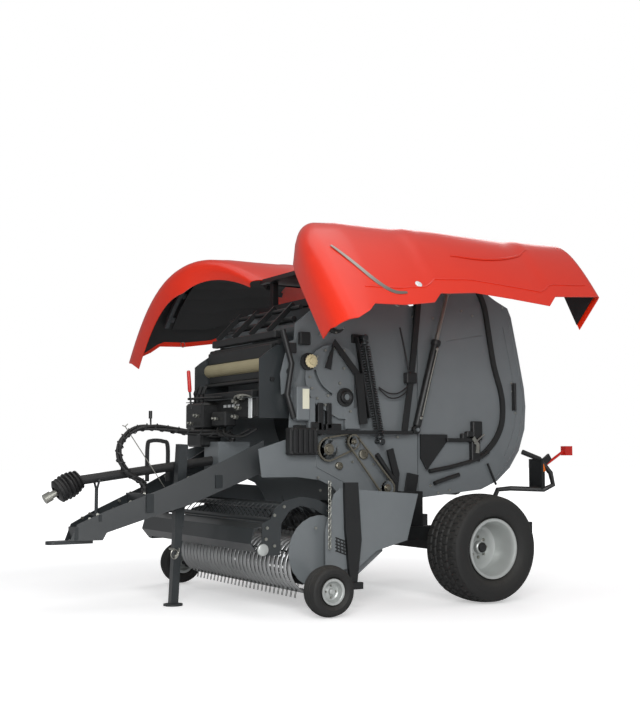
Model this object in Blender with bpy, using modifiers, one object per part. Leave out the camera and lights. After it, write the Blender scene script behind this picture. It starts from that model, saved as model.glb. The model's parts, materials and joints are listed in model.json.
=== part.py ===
"""Round baler, towed, with its side hoods open and its parking jack down.

Metres, +Z up, +X to the machine's left, +Y to its rear.  Every place below is written from
the gauge wheel line (y = 0), the ground (z = 0) and the machine's centre plane (x = 0).  One
empty, "baler", then carries the whole machine so that its box is centred on the origin.
"""
import math

import bmesh
import bpy
from mathutils import Matrix, Vector

# ---------------------------------------------------------------- driving dimensions
SKIN_GAP = 0.0003            # kept between faces that touch
SWING_GAP = 0.008            # kept between a moving panel and its neighbour

FRONT_END = -1.699           # foremost point, the yoke of the drive shaft
REAR_END = 2.67              # rearmost point, the stalk of the tail lamp

# wheels
WHEEL_X = 1.17               # centre plane of the main wheels
WHEEL_Y = 1.484
TYRE_R = 0.425
TYRE_W = 0.39
BEAD_R = 0.222
RIM_FLANGE_R = 0.236
GAUGE_X = 1.273
GAUGE_R = 0.185
GAUGE_W = 0.155
GAUGE_BEAD_R = 0.086
AXLE_SIZE = 0.11
RAIL_TOP = 0.58              # top of the chassis rails

# bale chamber
WALL_X = 0.65                # outer face of the side walls
WALL_T = 0.010
SPLIT_Y = 1.25               # where the fixed walls end and the tailgate starts
PIVOT_Y = 1.20               # tailgate hinge
PIVOT_Z = 2.60
PIVOT_R = 0.04
PIN_GAP = 0.001              # round a pin in its eye
CROSS_TUBE = (0.42, 2.20, 0.060)   # y, z and radius of the tube through the upper walls
CHAMBER_Y = 1.45
CHAMBER_Z = 1.62
CHAMBER_R = 0.74             # to the roller centres
ROLLER_R = 0.095

# hoods
HINGE_X = 0.42
HINGE_Z = 2.66
HOOD_OPEN = math.radians(37)
HOOD_X = 1.287               # side face when shut
HOOD_T = 0.012
HOOD_FRONT = -0.30
HOOD_REAR = 2.34
NOSE_R = 0.15
REAR_LIP = 0.33
HOOD_T_HINGE = 0.02          # where its skin starts, as a share of its section
HOOD_T_FREE = 0.255          # the same behind the tailgate hinge, clear of the rams
HINGE_R = 0.020
HINGE_SPAN = (0.40, 0.94)    # y of the hinge tubes between their lugs

# pick-up
PICKUP_Y = 0.62              # lift axis, which is also the feed rotor's
PICKUP_Z = 0.60
DRUM_Y = 0.06
DRUM_Z = 0.33
BAND_R = 0.20
BAND_X = 0.975
SHIELD_X = 0.985
SIDE_X = 1.06
PLATE_T = 0.008
GUARD_Y = 0.20               # hinge of the wind guard
GUARD_Z = 0.72

# drawbar
NOSE_Y = -1.50
BAR_REAR_Y = -0.06
BAR_FRONT_X = 0.055
BAR_REAR_X = 0.40
BAR_T = 0.012
GEARBOX_Y = -0.32            # front face of the gearbox
JACK_X = 0.11
JACK_Y = -0.69
JACK_LEAN = math.radians(2.9)

# tailgate ram
RAM_X = 0.70
RAM_LOW = (1.20, 1.36)
RAM_HIGH = (1.54, 2.53)
RAM_BARREL = 0.78
EYE_W = 0.040
RAM_PIN_R = 0.015

# drive on the left side
SPRING_X = 0.71              # middle of the long springs
SPROCKETS = (                                # y, z, radius and x of each sprocket
    (0.355, 1.20, 0.083, 0.700),
    (0.570, 1.26, 0.058, 0.700),
    (0.570, 1.26, 0.045, 0.730),
    (0.890, 0.89, 0.060, 0.730),
)
CHAINS = (                                   # name, and the two sprockets each one runs round
    ("front_drive_chain", 0, 1),
    ("rear_drive_chain", 2, 3),
)

# facets of round pieces
WHEEL_STEPS = 24
ROUND = 16

# ---------------------------------------------------------------- scene, materials, helpers
for old in list(bpy.data.objects):
    bpy.data.objects.remove(old, do_unlink=True)

PARTS = bpy.data.collections.new("round_baler")
CUTTERS = bpy.data.collections.new("round_baler_cutters")
bpy.context.scene.collection.children.link(PARTS)
bpy.context.scene.collection.children.link(CUTTERS)


def empty(name, place, parent=None):
    """An empty that carries a body, with its origin on the body's joint axis."""
    carrier = bpy.data.objects.new(name, None)
    PARTS.objects.link(carrier)
    carrier.empty_display_size = 0.05
    carrier.parent = parent
    base = parent["at"] if parent else (0, 0, 0)
    carrier.location = Vector(place) - Vector(base)
    carrier["at"] = tuple(place)
    return carrier


BALER = empty("baler", (0, 0, 0))
BALER.location.y = -(FRONT_END + REAR_END) / 2


def material(name, colour, roughness, metallic=0.0):
    made = bpy.data.materials.new(name)
    made.use_nodes = True
    shader = made.node_tree.nodes["Principled BSDF"]
    shader.inputs["Base Color"].default_value = (*colour, 1)
    shader.inputs["Roughness"].default_value = roughness
    shader.inputs["Metallic"].default_value = metallic
    return made


GREY = material("charcoal_paint", (0.075, 0.085, 0.088), 0.42)
DARK = material("black_paint", (0.02, 0.022, 0.025), 0.45)
RED = material("red_hood_paint", (0.72, 0.05, 0.02), 0.3)
RUBBER = material("tyre_rubber", (0.03, 0.03, 0.03), 0.85)
SILVER = material("silver_rim_paint", (0.55, 0.56, 0.55), 0.35, 0.3)
STEEL = material("bright_steel", (0.55, 0.55, 0.52), 0.3, 1.0)
PLASTIC = material("black_plastic", (0.025, 0.025, 0.025), 0.6)
NET = material("net_wrap", (0.62, 0.58, 0.42), 0.8)
LAMP = material("lamp_lens", (0.55, 0.04, 0.01), 0.2)


def from_bmesh(name, mesh):
    """A new object of the finished bmesh, held by the baler's empty."""
    data = bpy.data.meshes.new(name)
    mesh.to_mesh(data)
    mesh.free()
    made = bpy.data.objects.new(name, data)
    PARTS.objects.link(made)
    made.parent = BALER
    return made


def block(low, high, name="block"):
    """A box between two corners."""
    mesh = bmesh.new()
    size = Vector(high) - Vector(low)
    middle = (Vector(high) + Vector(low)) / 2
    bmesh.ops.create_cube(mesh, size=1, matrix=Matrix.Translation(middle) @ Matrix.Diagonal((*size, 1)))
    return from_bmesh(name, mesh)


def bar(start, end, radius, sides=ROUND, name="bar", end_radius=None):
    """A round bar or cone from one point to another."""
    start, end = Vector(start), Vector(end)
    along = end - start
    turn = along.to_track_quat("Z", "Y").to_matrix().to_4x4()
    mesh = bmesh.new()
    bmesh.ops.create_cone(mesh, cap_ends=True, segments=sides, radius1=radius,
                          radius2=radius if end_radius is None else end_radius, depth=along.length,
                          matrix=Matrix.Translation((start + end) / 2) @ turn)
    return from_bmesh(name, mesh)


def as_mesh(curve_object):
    """Turns a curve object into a welded mesh object in the same place."""
    bpy.context.view_layer.update()
    graph = bpy.context.evaluated_depsgraph_get()
    data = bpy.data.meshes.new_from_object(curve_object.evaluated_get(graph))
    mesh = bmesh.new()
    mesh.from_mesh(data)
    bmesh.ops.transform(mesh, matrix=curve_object.matrix_basis, verts=mesh.verts)
    bmesh.ops.remove_doubles(mesh, verts=mesh.verts, dist=1e-5)
    bmesh.ops.recalc_face_normals(mesh, faces=mesh.faces)
    made = from_bmesh(curve_object.name + "_mesh", mesh)
    bpy.data.objects.remove(curve_object)
    return made


def curve_object(name, dimensions, loops, cyclic):
    """A curve object of straight-sided splines."""
    curve = bpy.data.curves.new(name, "CURVE")
    curve.dimensions = dimensions
    for loop in loops:
        spline = curve.splines.new("POLY")
        spline.points.add(len(loop) - 1)
        for point, place in zip(spline.points, loop):
            point.co = (*place, *([0] * (3 - len(place))), 1)
        spline.use_cyclic_u = cyclic
    made = bpy.data.objects.new(name, curve)
    PARTS.objects.link(made)
    return made


PLANES = {                                   # turn of a flat outline, and its thickness direction
    "x": ((math.pi / 2, 0, math.pi / 2), Vector((1, 0, 0))),      # outline in (y, z)
    "y": ((math.pi / 2, 0, 0), Vector((0, 1, 0))),                # outline in (x, z)
    "z": ((0, 0, 0), Vector((0, 0, 1))),                          # outline in (x, y)
}


def plate(outline, low, high, plane="x", holes=(), name="plate"):
    """A flat outline with holes, between two heights along one axis."""
    made = curve_object(name, "2D", (outline, *holes), True)
    made.data.fill_mode = "BOTH"
    made.data.extrude = (high - low) / 2
    turn, along = PLANES[plane]
    made.rotation_euler = turn
    made.location = along * (low + high) / 2
    return as_mesh(made)


def pipe(points, radius, sides=2, name="pipe"):
    """A round tube along points."""
    made = curve_object(name, "3D", (points,), False)
    made.data.bevel_depth = radius
    made.data.bevel_resolution = sides
    made.data.use_fill_caps = True
    return as_mesh(made)


def arc(centre, radius, start, end, count):
    """Points on a circle from one angle to another, in degrees."""
    angles = [math.radians(start + (end - start) * i / (count - 1)) for i in range(count)]
    return [(centre[0] + radius * math.cos(a), centre[1] + radius * math.sin(a)) for a in angles]


def circle(centre, radius, count=ROUND):
    return arc(centre, radius, 0, 360 * (count - 1) / count, count)


def ribbon(path, low_x, high_x, thickness, offset=0.0, name="ribbon"):
    """A bent sheet: a (y, z) path carried across the machine, given its thickness."""
    mesh = bmesh.new()
    rows = [[mesh.verts.new((x, y, z)) for y, z in path] for x in (low_x, high_x)]
    for i in range(len(path) - 1):
        mesh.faces.new((rows[0][i], rows[0][i + 1], rows[1][i + 1], rows[1][i]))
    made = from_bmesh(name, mesh)
    wall = made.modifiers.new("wall", "SOLIDIFY")
    wall.thickness = thickness
    wall.offset = offset
    return made


def turned(profile, place, outward, steps, name="turned"):
    """A profile of (radius, height) turned about X; outward is +1 or -1 along X."""
    mesh = bmesh.new()
    corners = [mesh.verts.new((radius, 0, height)) for radius, height in profile]
    for first, second in zip(corners, corners[1:]):
        mesh.edges.new((first, second))
    if profile[0][0] > 0:
        mesh.edges.new((corners[-1], corners[0]))
    made = from_bmesh(name, mesh)
    made.rotation_euler = (0, math.pi / 2 * outward, 0)
    made.location = place
    screw = made.modifiers.new("turn", "SCREW")
    screw.steps = steps
    screw.render_steps = steps
    screw.use_merge_vertices = True
    screw.merge_threshold = 0.0001
    return made


def combine(base, operation, others):
    """Boolean of the base with each other shape, which becomes a hidden cutter."""
    for other in others:
        step = base.modifiers.new(operation.lower(), "BOOLEAN")
        step.operation = operation
        step.solver = "EXACT"
        step.object = other
        PARTS.objects.unlink(other)
        CUTTERS.objects.link(other)
        other.hide_render = True
        other.display_type = "WIRE"
    return base


def join(base, *others):
    return combine(base, "UNION", others)


def cut(base, *others):
    return combine(base, "DIFFERENCE", others)


def node(made, name, paint, carrier=None):
    """Names a finished sub-part, paints it and hangs it on the body that carries it."""
    made.name = name
    made.data.name = name
    made.data.materials.clear()
    made.data.materials.append(paint)
    if carrier:
        made.parent = carrier
        made.location = Vector(made.location) - Vector(carrier["at"])
    made.data.shade_smooth()
    made.data.set_sharp_from_angle(angle=math.radians(35))
    return made


def both_sides():
    return (("left", 1), ("right", -1))


def span(side, inner, outer):
    """Low and high x of a piece that lies between two distances from the centre plane."""
    return (inner, outer) if side > 0 else (-outer, -inner)


# ---------------------------------------------------------------- main wheels and axle
def tyre_profile(radius, width, bead, shoulder):
    """Closed section of a tyre, from its tread's outer edge round to its bead and back."""
    half = width / 2
    outer = [(radius, half * 0.74), (radius, -half * 0.74)]
    lower = [(radius - shoulder, -half * 0.93), ((radius + bead) / 2, -half),
             (bead + 0.3 * shoulder + 0.018, -half * 0.87),
             (bead + 0.018, -half * 0.77), (bead, -half * 0.77)]
    upper = [(r, -h) for r, h in reversed(lower)]
    return outer + lower + upper


def main_rim_profile():
    """Deep-dish rim: hub cap, disc, barrel and both flanges."""
    seat = BEAD_R - SKIN_GAP
    edge = TYRE_W / 2 * 0.77 + SKIN_GAP
    lip = edge + 0.014
    return [(0, 0.020), (0.055, 0.020), (0.058, -0.030), (0.165, -0.048), (0.195, -0.035), (0.208, lip),
            (RIM_FLANGE_R, lip), (RIM_FLANGE_R, edge), (seat, edge), (seat, -edge), (RIM_FLANGE_R, -edge),
            (RIM_FLANGE_R, -lip), (0.205, -lip), (0.185, -0.070), (0.070, -0.045), (0.070, -0.100),
            (0, -0.100)]


def gauge_rim_profile():
    seat = GAUGE_BEAD_R - SKIN_GAP
    edge = GAUGE_W / 2 * 0.77 + SKIN_GAP
    lip = edge + 0.008
    flange = GAUGE_BEAD_R + 0.008
    return [(0, 0.058), (0.024, 0.058), (0.024, 0.028), (0.066, 0.028), (0.074, lip), (flange, lip),
            (flange, edge), (seat, edge), (seat, -edge), (flange, -edge), (flange, -lip), (0.072, -lip),
            (0.024, 0.0), (0.024, -0.060), (0, -0.060)]


def build_wheels():
    for word, side in both_sides():
        hub = (side * WHEEL_X, WHEEL_Y, TYRE_R)
        carrier = empty(word + "_wheel", hub, BALER)
        tyre = turned(tyre_profile(TYRE_R, TYRE_W, BEAD_R, 0.05), hub, side, WHEEL_STEPS)
        node(tyre, word + "_tyre", RUBBER, carrier)
        rim = turned(main_rim_profile(), hub, side, WHEEL_STEPS)
        node(rim, word + "_rim", SILVER, carrier)


def build_axle():
    """The axle tube under the rails, its two spindles, and the rails with their rear cross tube."""
    low, high = TYRE_R - AXLE_SIZE / 2, TYRE_R + AXLE_SIZE / 2
    beam = block((-0.88, WHEEL_Y - AXLE_SIZE / 2, low), (0.88, WHEEL_Y + AXLE_SIZE / 2, high))
    reach = WHEEL_X - 0.100 - SKIN_GAP
    pieces = [bar((-reach, WHEEL_Y, TYRE_R), (reach, WHEEL_Y, TYRE_R), 0.040)]
    for _, side in both_sides():
        x_low, x_high = span(side, 0.70, 0.80)
        pieces.append(block((x_low, 0.98, high - 0.01), (x_high, 2.36, RAIL_TOP)))
        x_low, x_high = span(side, WALL_X + SKIN_GAP, 0.76)
        pieces.append(block((x_low, 1.00, RAIL_TOP - 0.05), (x_high, 1.22, 0.86)))
    node(join(beam, *pieces), "axle_frame", DARK)


# ---------------------------------------------------------------- chamber walls and rollers
def fixed_wall_outline():
    """Front side wall in (y, z), with the arch over the pick-up intake."""
    return [
        (SPLIT_Y, 0.60), (0.84, 0.50), (0.56, 0.50), (0.55, 0.70), (0.50, 0.82), (0.42, 0.91),
        (0.30, 0.96), (0.10, 0.985), (-0.21, 0.985), (-0.24, 1.20), (0.02, 1.28), (0.08, 2.18),
        (0.36, 2.40), (0.95, 2.52), (1.06, 2.44),
        (SPLIT_Y, 2.36)]


def tailgate_outline(inset=0.0):
    """Tailgate side wall in (y, z): hinge eye, flat top, round back, bottom."""
    front = SPLIT_Y + SWING_GAP
    eye = arc((PIVOT_Y, PIVOT_Z), 0.085 - inset, 250, 80, 7)
    back = [(1.95, 2.58), (2.10, 2.50), (2.24, 2.44), (2.28, 2.36), (2.35, 2.06), (2.42, 1.74),
            (2.435, 1.58), (2.42, 1.38), (2.35, 1.19), (2.24, 1.04), (2.10, 0.93), (1.92, 0.86)]
    if inset:
        centre = Vector((CHAMBER_Y, CHAMBER_Z))
        back = [tuple(Vector(p) + (centre - Vector(p)).normalized() * inset) for p in back]
    return [(front, 2.40)] + eye + back + [(front, 0.80)]


def ram_pin(side):
    """The pin that a ram's lower eye hangs on, with its collar, standing out of the fixed wall."""
    start = side * (WALL_X - WALL_T / 2)
    pin = bar((start, *RAM_LOW), (side * (RAM_X + 0.035), *RAM_LOW), RAM_PIN_R, 12)
    collar = bar((start, *RAM_LOW), (side * (RAM_X - EYE_W / 2 - 0.002), *RAM_LOW), 0.03, 12)
    return pin, collar


def build_walls(tailgate):
    for word, side in both_sides():
        x_low, x_high = span(side, WALL_X - WALL_T, WALL_X)
        wall = plate(fixed_wall_outline(), x_low, x_high)
        y, z, radius = CROSS_TUBE
        hole = bar((-1, y, z), (1, y, z), radius + SKIN_GAP / math.cos(math.pi / 20), 20)
        node(cut(join(wall, *ram_pin(side)), hole), word + "_side_wall", GREY)
        hole = circle((PIVOT_Y, PIVOT_Z), PIVOT_R + PIN_GAP, 24)
        gate = plate(tailgate_outline(), x_low, x_high, holes=(hole,))
        node(gate, word + "_tailgate_wall", GREY, tailgate)


def build_skins(tailgate):
    """The bent sheets that close the chamber at the front and at the back."""
    reach = WALL_X - WALL_T - SKIN_GAP
    front = arc((CHAMBER_Y, CHAMBER_Z), CHAMBER_R + ROLLER_R + 0.02, 118, 212, 12)
    node(ribbon(front, -reach, reach, 0.006), "chamber_front_sheet", GREY)
    path = tailgate_outline(0.03)[8:-1]
    node(ribbon(path, -reach, reach, 0.006), "tailgate_rear_sheet", GREY, tailgate)


ROLLERS = (                                  # name, angle round the chamber in degrees, body
    ("starter_roller", 196, "root"),
    ("floor_roller", 232, "root"),
    ("tailgate_floor_roller", 287, "tailgate"),
)


def build_rollers(tailgate):
    reach = WALL_X - WALL_T - SKIN_GAP
    for name, angle, body in ROLLERS:
        y = CHAMBER_Y + CHAMBER_R * math.cos(math.radians(angle))
        z = CHAMBER_Z + CHAMBER_R * math.sin(math.radians(angle))
        parent = tailgate if body == "tailgate" else BALER
        carrier = empty(name + "_axis", (0, y, z), parent)
        drum = bar((-reach + 0.02, y, z), (reach - 0.02, y, z), ROLLER_R)
        shaft = bar((-reach, y, z), (reach, y, z), 0.025, 12)
        node(join(drum, shaft), name, DARK, carrier)


# ---------------------------------------------------------------- hoods
HOOD_EDGE = (                                # y and height of the shut hood's lower edge
    (-0.30, 1.30), (-0.20, 1.275), (0.02, 1.43), (0.28, 1.44), (0.56, 1.49), (0.66, 1.59),
    (0.76, 1.60), (1.00, 1.63), (1.34, 1.60), (1.70, 1.56), (1.82, 1.67), (2.34, 1.72),
)
HOOD_COLUMNS = 11
HOOD_CONTROL = (1.27, 2.72)                  # control point of the shut hood's round shoulder
HOOD_WEIGHT = 1.5


def hood_section(t, edge_z):
    """Point and inward normal of the shut hood's section; t is 0 at the hinge, 1 at the edge."""
    start, control, end = Vector((HINGE_X, HINGE_Z)), Vector(HOOD_CONTROL), Vector((HOOD_X, edge_z))
    weights = ((1 - t) ** 2, 2 * t * (1 - t) * HOOD_WEIGHT, t * t)
    total = sum(weights)
    point = (start * weights[0] + control * weights[1] + end * weights[2]) / total
    along = (control - start).lerp(end - control, t).normalized()
    return point, Vector((along.y, -along.x))


def hood_front(t):
    return HOOD_FRONT + 0.60 * (1 - t) ** 2


def hood_rear(t):
    return HOOD_REAR + 0.20 * (1 - t)


def hood_point(t, y, edge_z, inset, side):
    """A point of the open hood: the shut section, set in, then swung up about the hinge."""
    point, normal = hood_section(t, edge_z)
    point = point + normal * inset - Vector((HINGE_X, HINGE_Z))
    swing = Matrix.Rotation(HOOD_OPEN, 2)
    point = swing @ point + Vector((HINGE_X, HINGE_Z))
    return Vector((side * point.x, y, point.y))


def lip_share(t, row_y):
    """How much of a lip's depth is left: less along the roof than down the side."""
    if row_y < CHAMBER_Y:
        return 0.25 + 0.75 * min(t / 0.5, 1)
    return 0.15 + 0.85 * t


def hood_rows(inset=0.0):
    """Rows of the hood from the inside of its nose to the inside of its rear wall: y share, edge, inset."""
    rows = [(HOOD_FRONT + 0.02, 1.36, NOSE_R + 0.16), (HOOD_FRONT, 1.33, NOSE_R + 0.03)]
    rows += [(HOOD_FRONT + NOSE_R * (1 - math.cos(a)), 1.30 - 0.02 * math.sin(a), NOSE_R * (1 - math.sin(a)))
             for a in (0.25, 0.60, 1.05)]
    rows += [(y, z, 0.0) for y, z in HOOD_EDGE[2:-1]]
    last_y, last_z = HOOD_EDGE[-1]
    rows += [(last_y - 0.04, last_z, 0.0), (last_y - 0.01, last_z, 0.012), (last_y, last_z, 0.045),
             (last_y - 0.02, last_z - 0.06, REAR_LIP)]
    return [(y, z, depth + inset) for y, z, depth in rows]


def hood_t_start(y):
    """Where the hood's inner edge starts: at the hinge, and further out behind the tailgate hinge."""
    share = min(max((y - 0.66) / 0.10, 0), 1)
    return HOOD_T_HINGE + (HOOD_T_FREE - HOOD_T_HINGE) * share


def hood_grid(rows, columns, side, base_inset=0.0, t_low=0.0, t_high=1.0, grow=0.0):
    """A grid of faces over the hood's surface."""
    mesh = bmesh.new()
    grid = []
    for y, edge_z, inset in rows:
        start = max(hood_t_start(y), t_low) - grow
        line = []
        for i in range(columns + 1):
            t = start + (t_high - start) * i / columns
            share = (y - HOOD_FRONT) / (HOOD_REAR - HOOD_FRONT)
            place_y = hood_front(t) + (hood_rear(t) - hood_front(t)) * share
            depth = base_inset + (inset - base_inset) * lip_share(t, y)
            line.append(mesh.verts.new(hood_point(t, place_y, edge_z, depth, side)))
        grid.append(line)
    for one, two in zip(grid, grid[1:]):
        for i in range(columns):
            corners = (one[i], one[i + 1], two[i + 1], two[i])
            mesh.faces.new(corners if side > 0 else corners[::-1])
    bmesh.ops.triangulate(mesh, faces=mesh.faces)
    return mesh


def build_hoods():
    carriers = {}
    for word, side in both_sides():
        carrier = empty(word + "_hood_hinge", (side * HINGE_X, 0, HINGE_Z), BALER)
        carriers[word] = carrier
        skin = from_bmesh("skin", hood_grid(hood_rows(), HOOD_COLUMNS, side))
        wall = skin.modifiers.new("wall", "SOLIDIFY")
        wall.thickness = HOOD_T
        wall.offset = -1
        node(skin, word + "_hood", RED, carrier)
    return carriers


def edge_height(y):
    """Height of the shut hood's lower edge at a station along it."""
    for (y0, z0), (y1, z1) in zip(HOOD_EDGE, HOOD_EDGE[1:]):
        if y <= y1:
            return z0 + (z1 - z0) * (y - y0) / (y1 - y0)
    return HOOD_EDGE[-1][1]


def hood_slice(t, y, inset, side):
    """The open hood's (x, z) at a plane across the machine."""
    share = (y - hood_front(t)) / (hood_rear(t) - hood_front(t))
    station = HOOD_FRONT + share * (HOOD_REAR - HOOD_FRONT)
    place = hood_point(t, y, edge_height(station), inset, side)
    return place.x, place.z


def build_hood_frames(carriers):
    """Under each skin: two curved arms from the hinge, and the moulded lining they carry."""
    for word, side in both_sides():
        rows = [(y, edge_height(y), 0.060) for y in (0.05, 0.40, 0.70, 1.00)]
        lining = from_bmesh("lining", hood_grid(rows, 8, side, 0.060, 0.34, 0.93))
        wall = lining.modifiers.new("wall", "SOLIDIFY")
        wall.thickness = 0.015
        wall.offset = -1
        arms = []
        for y in (0.45, 0.88):
            steps = [0.86 * i / 9 for i in range(10)]
            outer = [hood_slice(t, y, 0.0095, side) for t in steps]
            inner = [hood_slice(t, y, 0.068, side) for t in reversed(steps)]
            arms.append(plate(outer + inner, y - 0.02, y + 0.02, "y"))
        spare = from_bmesh("skin_space", hood_grid(hood_rows(), HOOD_COLUMNS, side, grow=0.002))
        room = spare.modifiers.new("wall", "SOLIDIFY")
        room.thickness = HOOD_T + 2 * SKIN_GAP
        room.offset = -1
        hinge = bar((side * HINGE_X, HINGE_SPAN[0], HINGE_Z), (side * HINGE_X, HINGE_SPAN[1], HINGE_Z),
                    HINGE_R, 12)
        frame = cut(join(lining, *arms, hinge), spare)
        node(frame, word + "_hood_frame", PLASTIC, carriers[word])


def build_roof():
    """The fixed centre of the roof between the hoods, on the two hinge tubes."""
    top = HINGE_Z + 0.02
    deck = block((-HINGE_X + 0.05, 0.34, top - 0.035), (HINGE_X - 0.05, 1.08, top))
    posts = []
    for _, side in both_sides():
        x_low, x_high = span(side, HINGE_X - 0.06, HINGE_X + 0.015)
        low, high = HINGE_Z - 0.015, HINGE_Z + 0.015
        start, end = HINGE_SPAN
        posts.append(block((x_low, start - 0.045, low), (x_high, start - SKIN_GAP, high)))
        posts.append(block((x_low, end + SKIN_GAP, low), (x_high, end + 0.045, high)))
    for y in (0.42, 1.00):
        reach = WALL_X - WALL_T - SKIN_GAP
        posts.append(block((-reach, y - 0.03, 2.38), (reach, y + 0.03, 2.44)))
        for x in (-0.30, 0.30):
            posts.append(block((x - 0.03, y - 0.025, 2.40), (x + 0.03, y + 0.025, top - 0.02)))
    reach = WALL_X + 0.03
    posts.append(bar((-reach, PIVOT_Y, PIVOT_Z), (reach, PIVOT_Y, PIVOT_Z), PIVOT_R, 24))
    for x in (-0.30, 0.30):
        posts.append(block((x - 0.03, 0.98, PIVOT_Z - 0.03), (x + 0.03, PIVOT_Y, PIVOT_Z + 0.03)))
    node(join(deck, *posts), "roof_frame", DARK)


def build_drawbar():
    """Two deep side plates that spread to the rear, a nose block and the braces between them."""
    run = BAR_REAR_Y - NOSE_Y
    splay = math.atan2(BAR_REAR_X - BAR_FRONT_X, run)
    length = math.hypot(BAR_REAR_X - BAR_FRONT_X, run)
    outline = [(0.0, 0.520), (0.24, 0.520), (0.27, 0.575), (0.60, 0.685), (0.90, 0.775), (1.12, 0.870),
               (length, 1.02), (length, 1.27), (1.20, 1.13), (0.70, 0.905), (0.26, 0.735), (0.05, 0.640)]
    plates = []
    for side in (1, -1):
        made = plate(outline, -BAR_T / 2, BAR_T / 2)
        turn = Matrix.Translation((side * BAR_FRONT_X, NOSE_Y, 0)) @ Matrix.Rotation(-side * splay, 4, "Z")
        made.data.transform(turn)
        plates.append(made)
    nose = block((-0.075, NOSE_Y + 0.03, 0.525), (0.075, NOSE_Y + 0.22, 0.62))
    middle = block((-0.21, -0.96, 0.72), (0.21, -0.90, 0.86))
    rear = block((-0.33, -0.44, 0.90), (0.33, -0.38, 1.00))
    saddle = [block((-0.115, -1.30, 0.66), (0.115, -1.26, 0.71))]
    saddle.append(bar((0, -1.28, 0.69), (0, -1.28, 0.90), 0.014, 10))
    for side in (1, -1):
        saddle.append(bar((0, -1.28, 0.885), (side * 0.06, -1.28, 0.965), 0.009, 8))
    node(join(plates[0], plates[1], nose, middle, rear, *saddle), "drawbar", GREY)
    eye = arc((0, -1.615), 0.052, 180, 360, 9)
    tongue = plate([(0.052, NOSE_Y + 0.18), (-0.052, NOSE_Y + 0.18)] + eye, 0.4947, 0.5197, "z",
                   (circle((0, -1.615), 0.020, 12),))
    node(tongue, "hitch_tongue", DARK)


def square_tube(start, end, half, bore):
    """A square tube along a line that leans only fore and aft; a bore of 0 leaves it solid."""
    start, end = Vector(start), Vector(end)
    along = (end - start).normalized()
    across = Vector((1, 0, 0))
    frame = Matrix((across, along.cross(across), along)).transposed().to_4x4()
    middle = Matrix.Translation((start + end) / 2) @ frame
    length = (end - start).length
    mesh = bmesh.new()
    bmesh.ops.create_cube(mesh, size=1, matrix=middle @ Matrix.Diagonal((2 * half, 2 * half, length, 1)))
    made = from_bmesh("square_tube", mesh)
    if bore:
        hollow = bmesh.new()
        size = Matrix.Diagonal((2 * bore, 2 * bore, length + 0.02, 1))
        bmesh.ops.create_cube(hollow, size=1, matrix=middle @ size)
        cut(made, from_bmesh("bore", hollow))
    return made


def build_jack():
    """Sleeve between the drawbar plates, and the leg that slides in it."""
    lean = Vector((0, math.sin(JACK_LEAN), math.cos(JACK_LEAN)))
    foot = Vector((JACK_X, JACK_Y, 0))
    carrier = empty("parking_jack", foot, BALER)
    leg = square_tube(foot + lean * 0.012, foot + lean * 0.98, 0.030, 0.0)
    plate_foot = bar(foot, foot + Vector((0, 0, 0.014)), 0.075, 20)
    node(join(leg, plate_foot), "jack_leg", DARK, carrier)
    sleeve = square_tube(foot + lean * 0.60, foot + lean * 1.24, 0.037, 0.0306)
    cap = square_tube(foot + lean * 1.205, foot + lean * 1.24, 0.036, 0.0)
    slope = (BAR_REAR_X - BAR_FRONT_X) / (BAR_REAR_Y - NOSE_Y)
    bar_x = BAR_FRONT_X + slope * (JACK_Y - 0.02 - NOSE_Y)
    reach = bar_x - BAR_T / 2 * math.hypot(1, slope) - SKIN_GAP
    mount = block((JACK_X + 0.033, JACK_Y - 0.02, 0.80), (reach, JACK_Y + 0.06, 0.86))
    node(join(sleeve, cap, mount), "jack_sleeve", GREY)


def build_front_frame():
    """Cross tubes between the side walls, and the bracket plates that the drawbar ends in."""
    reach = WALL_X - WALL_T - SKIN_GAP
    beam = block((-reach, BAR_REAR_Y + 0.02, 1.00), (reach, BAR_REAR_Y + 0.12, 1.20))
    node(beam, "front_cross_beam", GREY)
    y, z, radius = CROSS_TUBE
    tube = bar((-WALL_X - 0.11, y, z), (WALL_X + 0.11, y, z), radius, 20)
    node(tube, "upper_cross_tube", GREY)
    lower = block((-reach, 1.10, 0.64), (reach, 1.20, 0.74))
    node(lower, "lower_cross_beam", DARK)


def build_net_box():
    """Front box that holds the net: cheeks, shelf, control panel and the roll."""
    cheek = [(-0.20, 1.44), (-0.20, 1.90), (-0.15, 1.94), (0.06, 2.08), (0.12, 2.08), (0.12, 1.44)]
    pieces = []
    for _, side in both_sides():
        x_low, x_high = span(side, 0.575, 0.583)
        pieces.append(plate(cheek, x_low, x_high))
        x_low, x_high = span(side, 0.575, WALL_X - WALL_T - SKIN_GAP)
        pieces.append(block((x_low, 0.06, 1.50), (x_high, 0.12, 2.00)))
    pieces.append(bar((-0.58, 0.0, 2.03), (0.58, 0.0, 2.03), 0.03, 12))
    shelf = block((-0.58, -0.28, 1.594), (0.58, 0.10, 1.600))
    node(join(shelf, *pieces), "net_box", GREY)
    reach = 0.575 - SKIN_GAP
    node(block((-reach, -0.22, 1.45), (reach, -0.12, 1.594 - SKIN_GAP)), "control_panel", PLASTIC)
    node(bar((-reach, -0.06, 1.87), (reach, -0.06, 1.87), 0.055, 20), "net_roll", NET)


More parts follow.
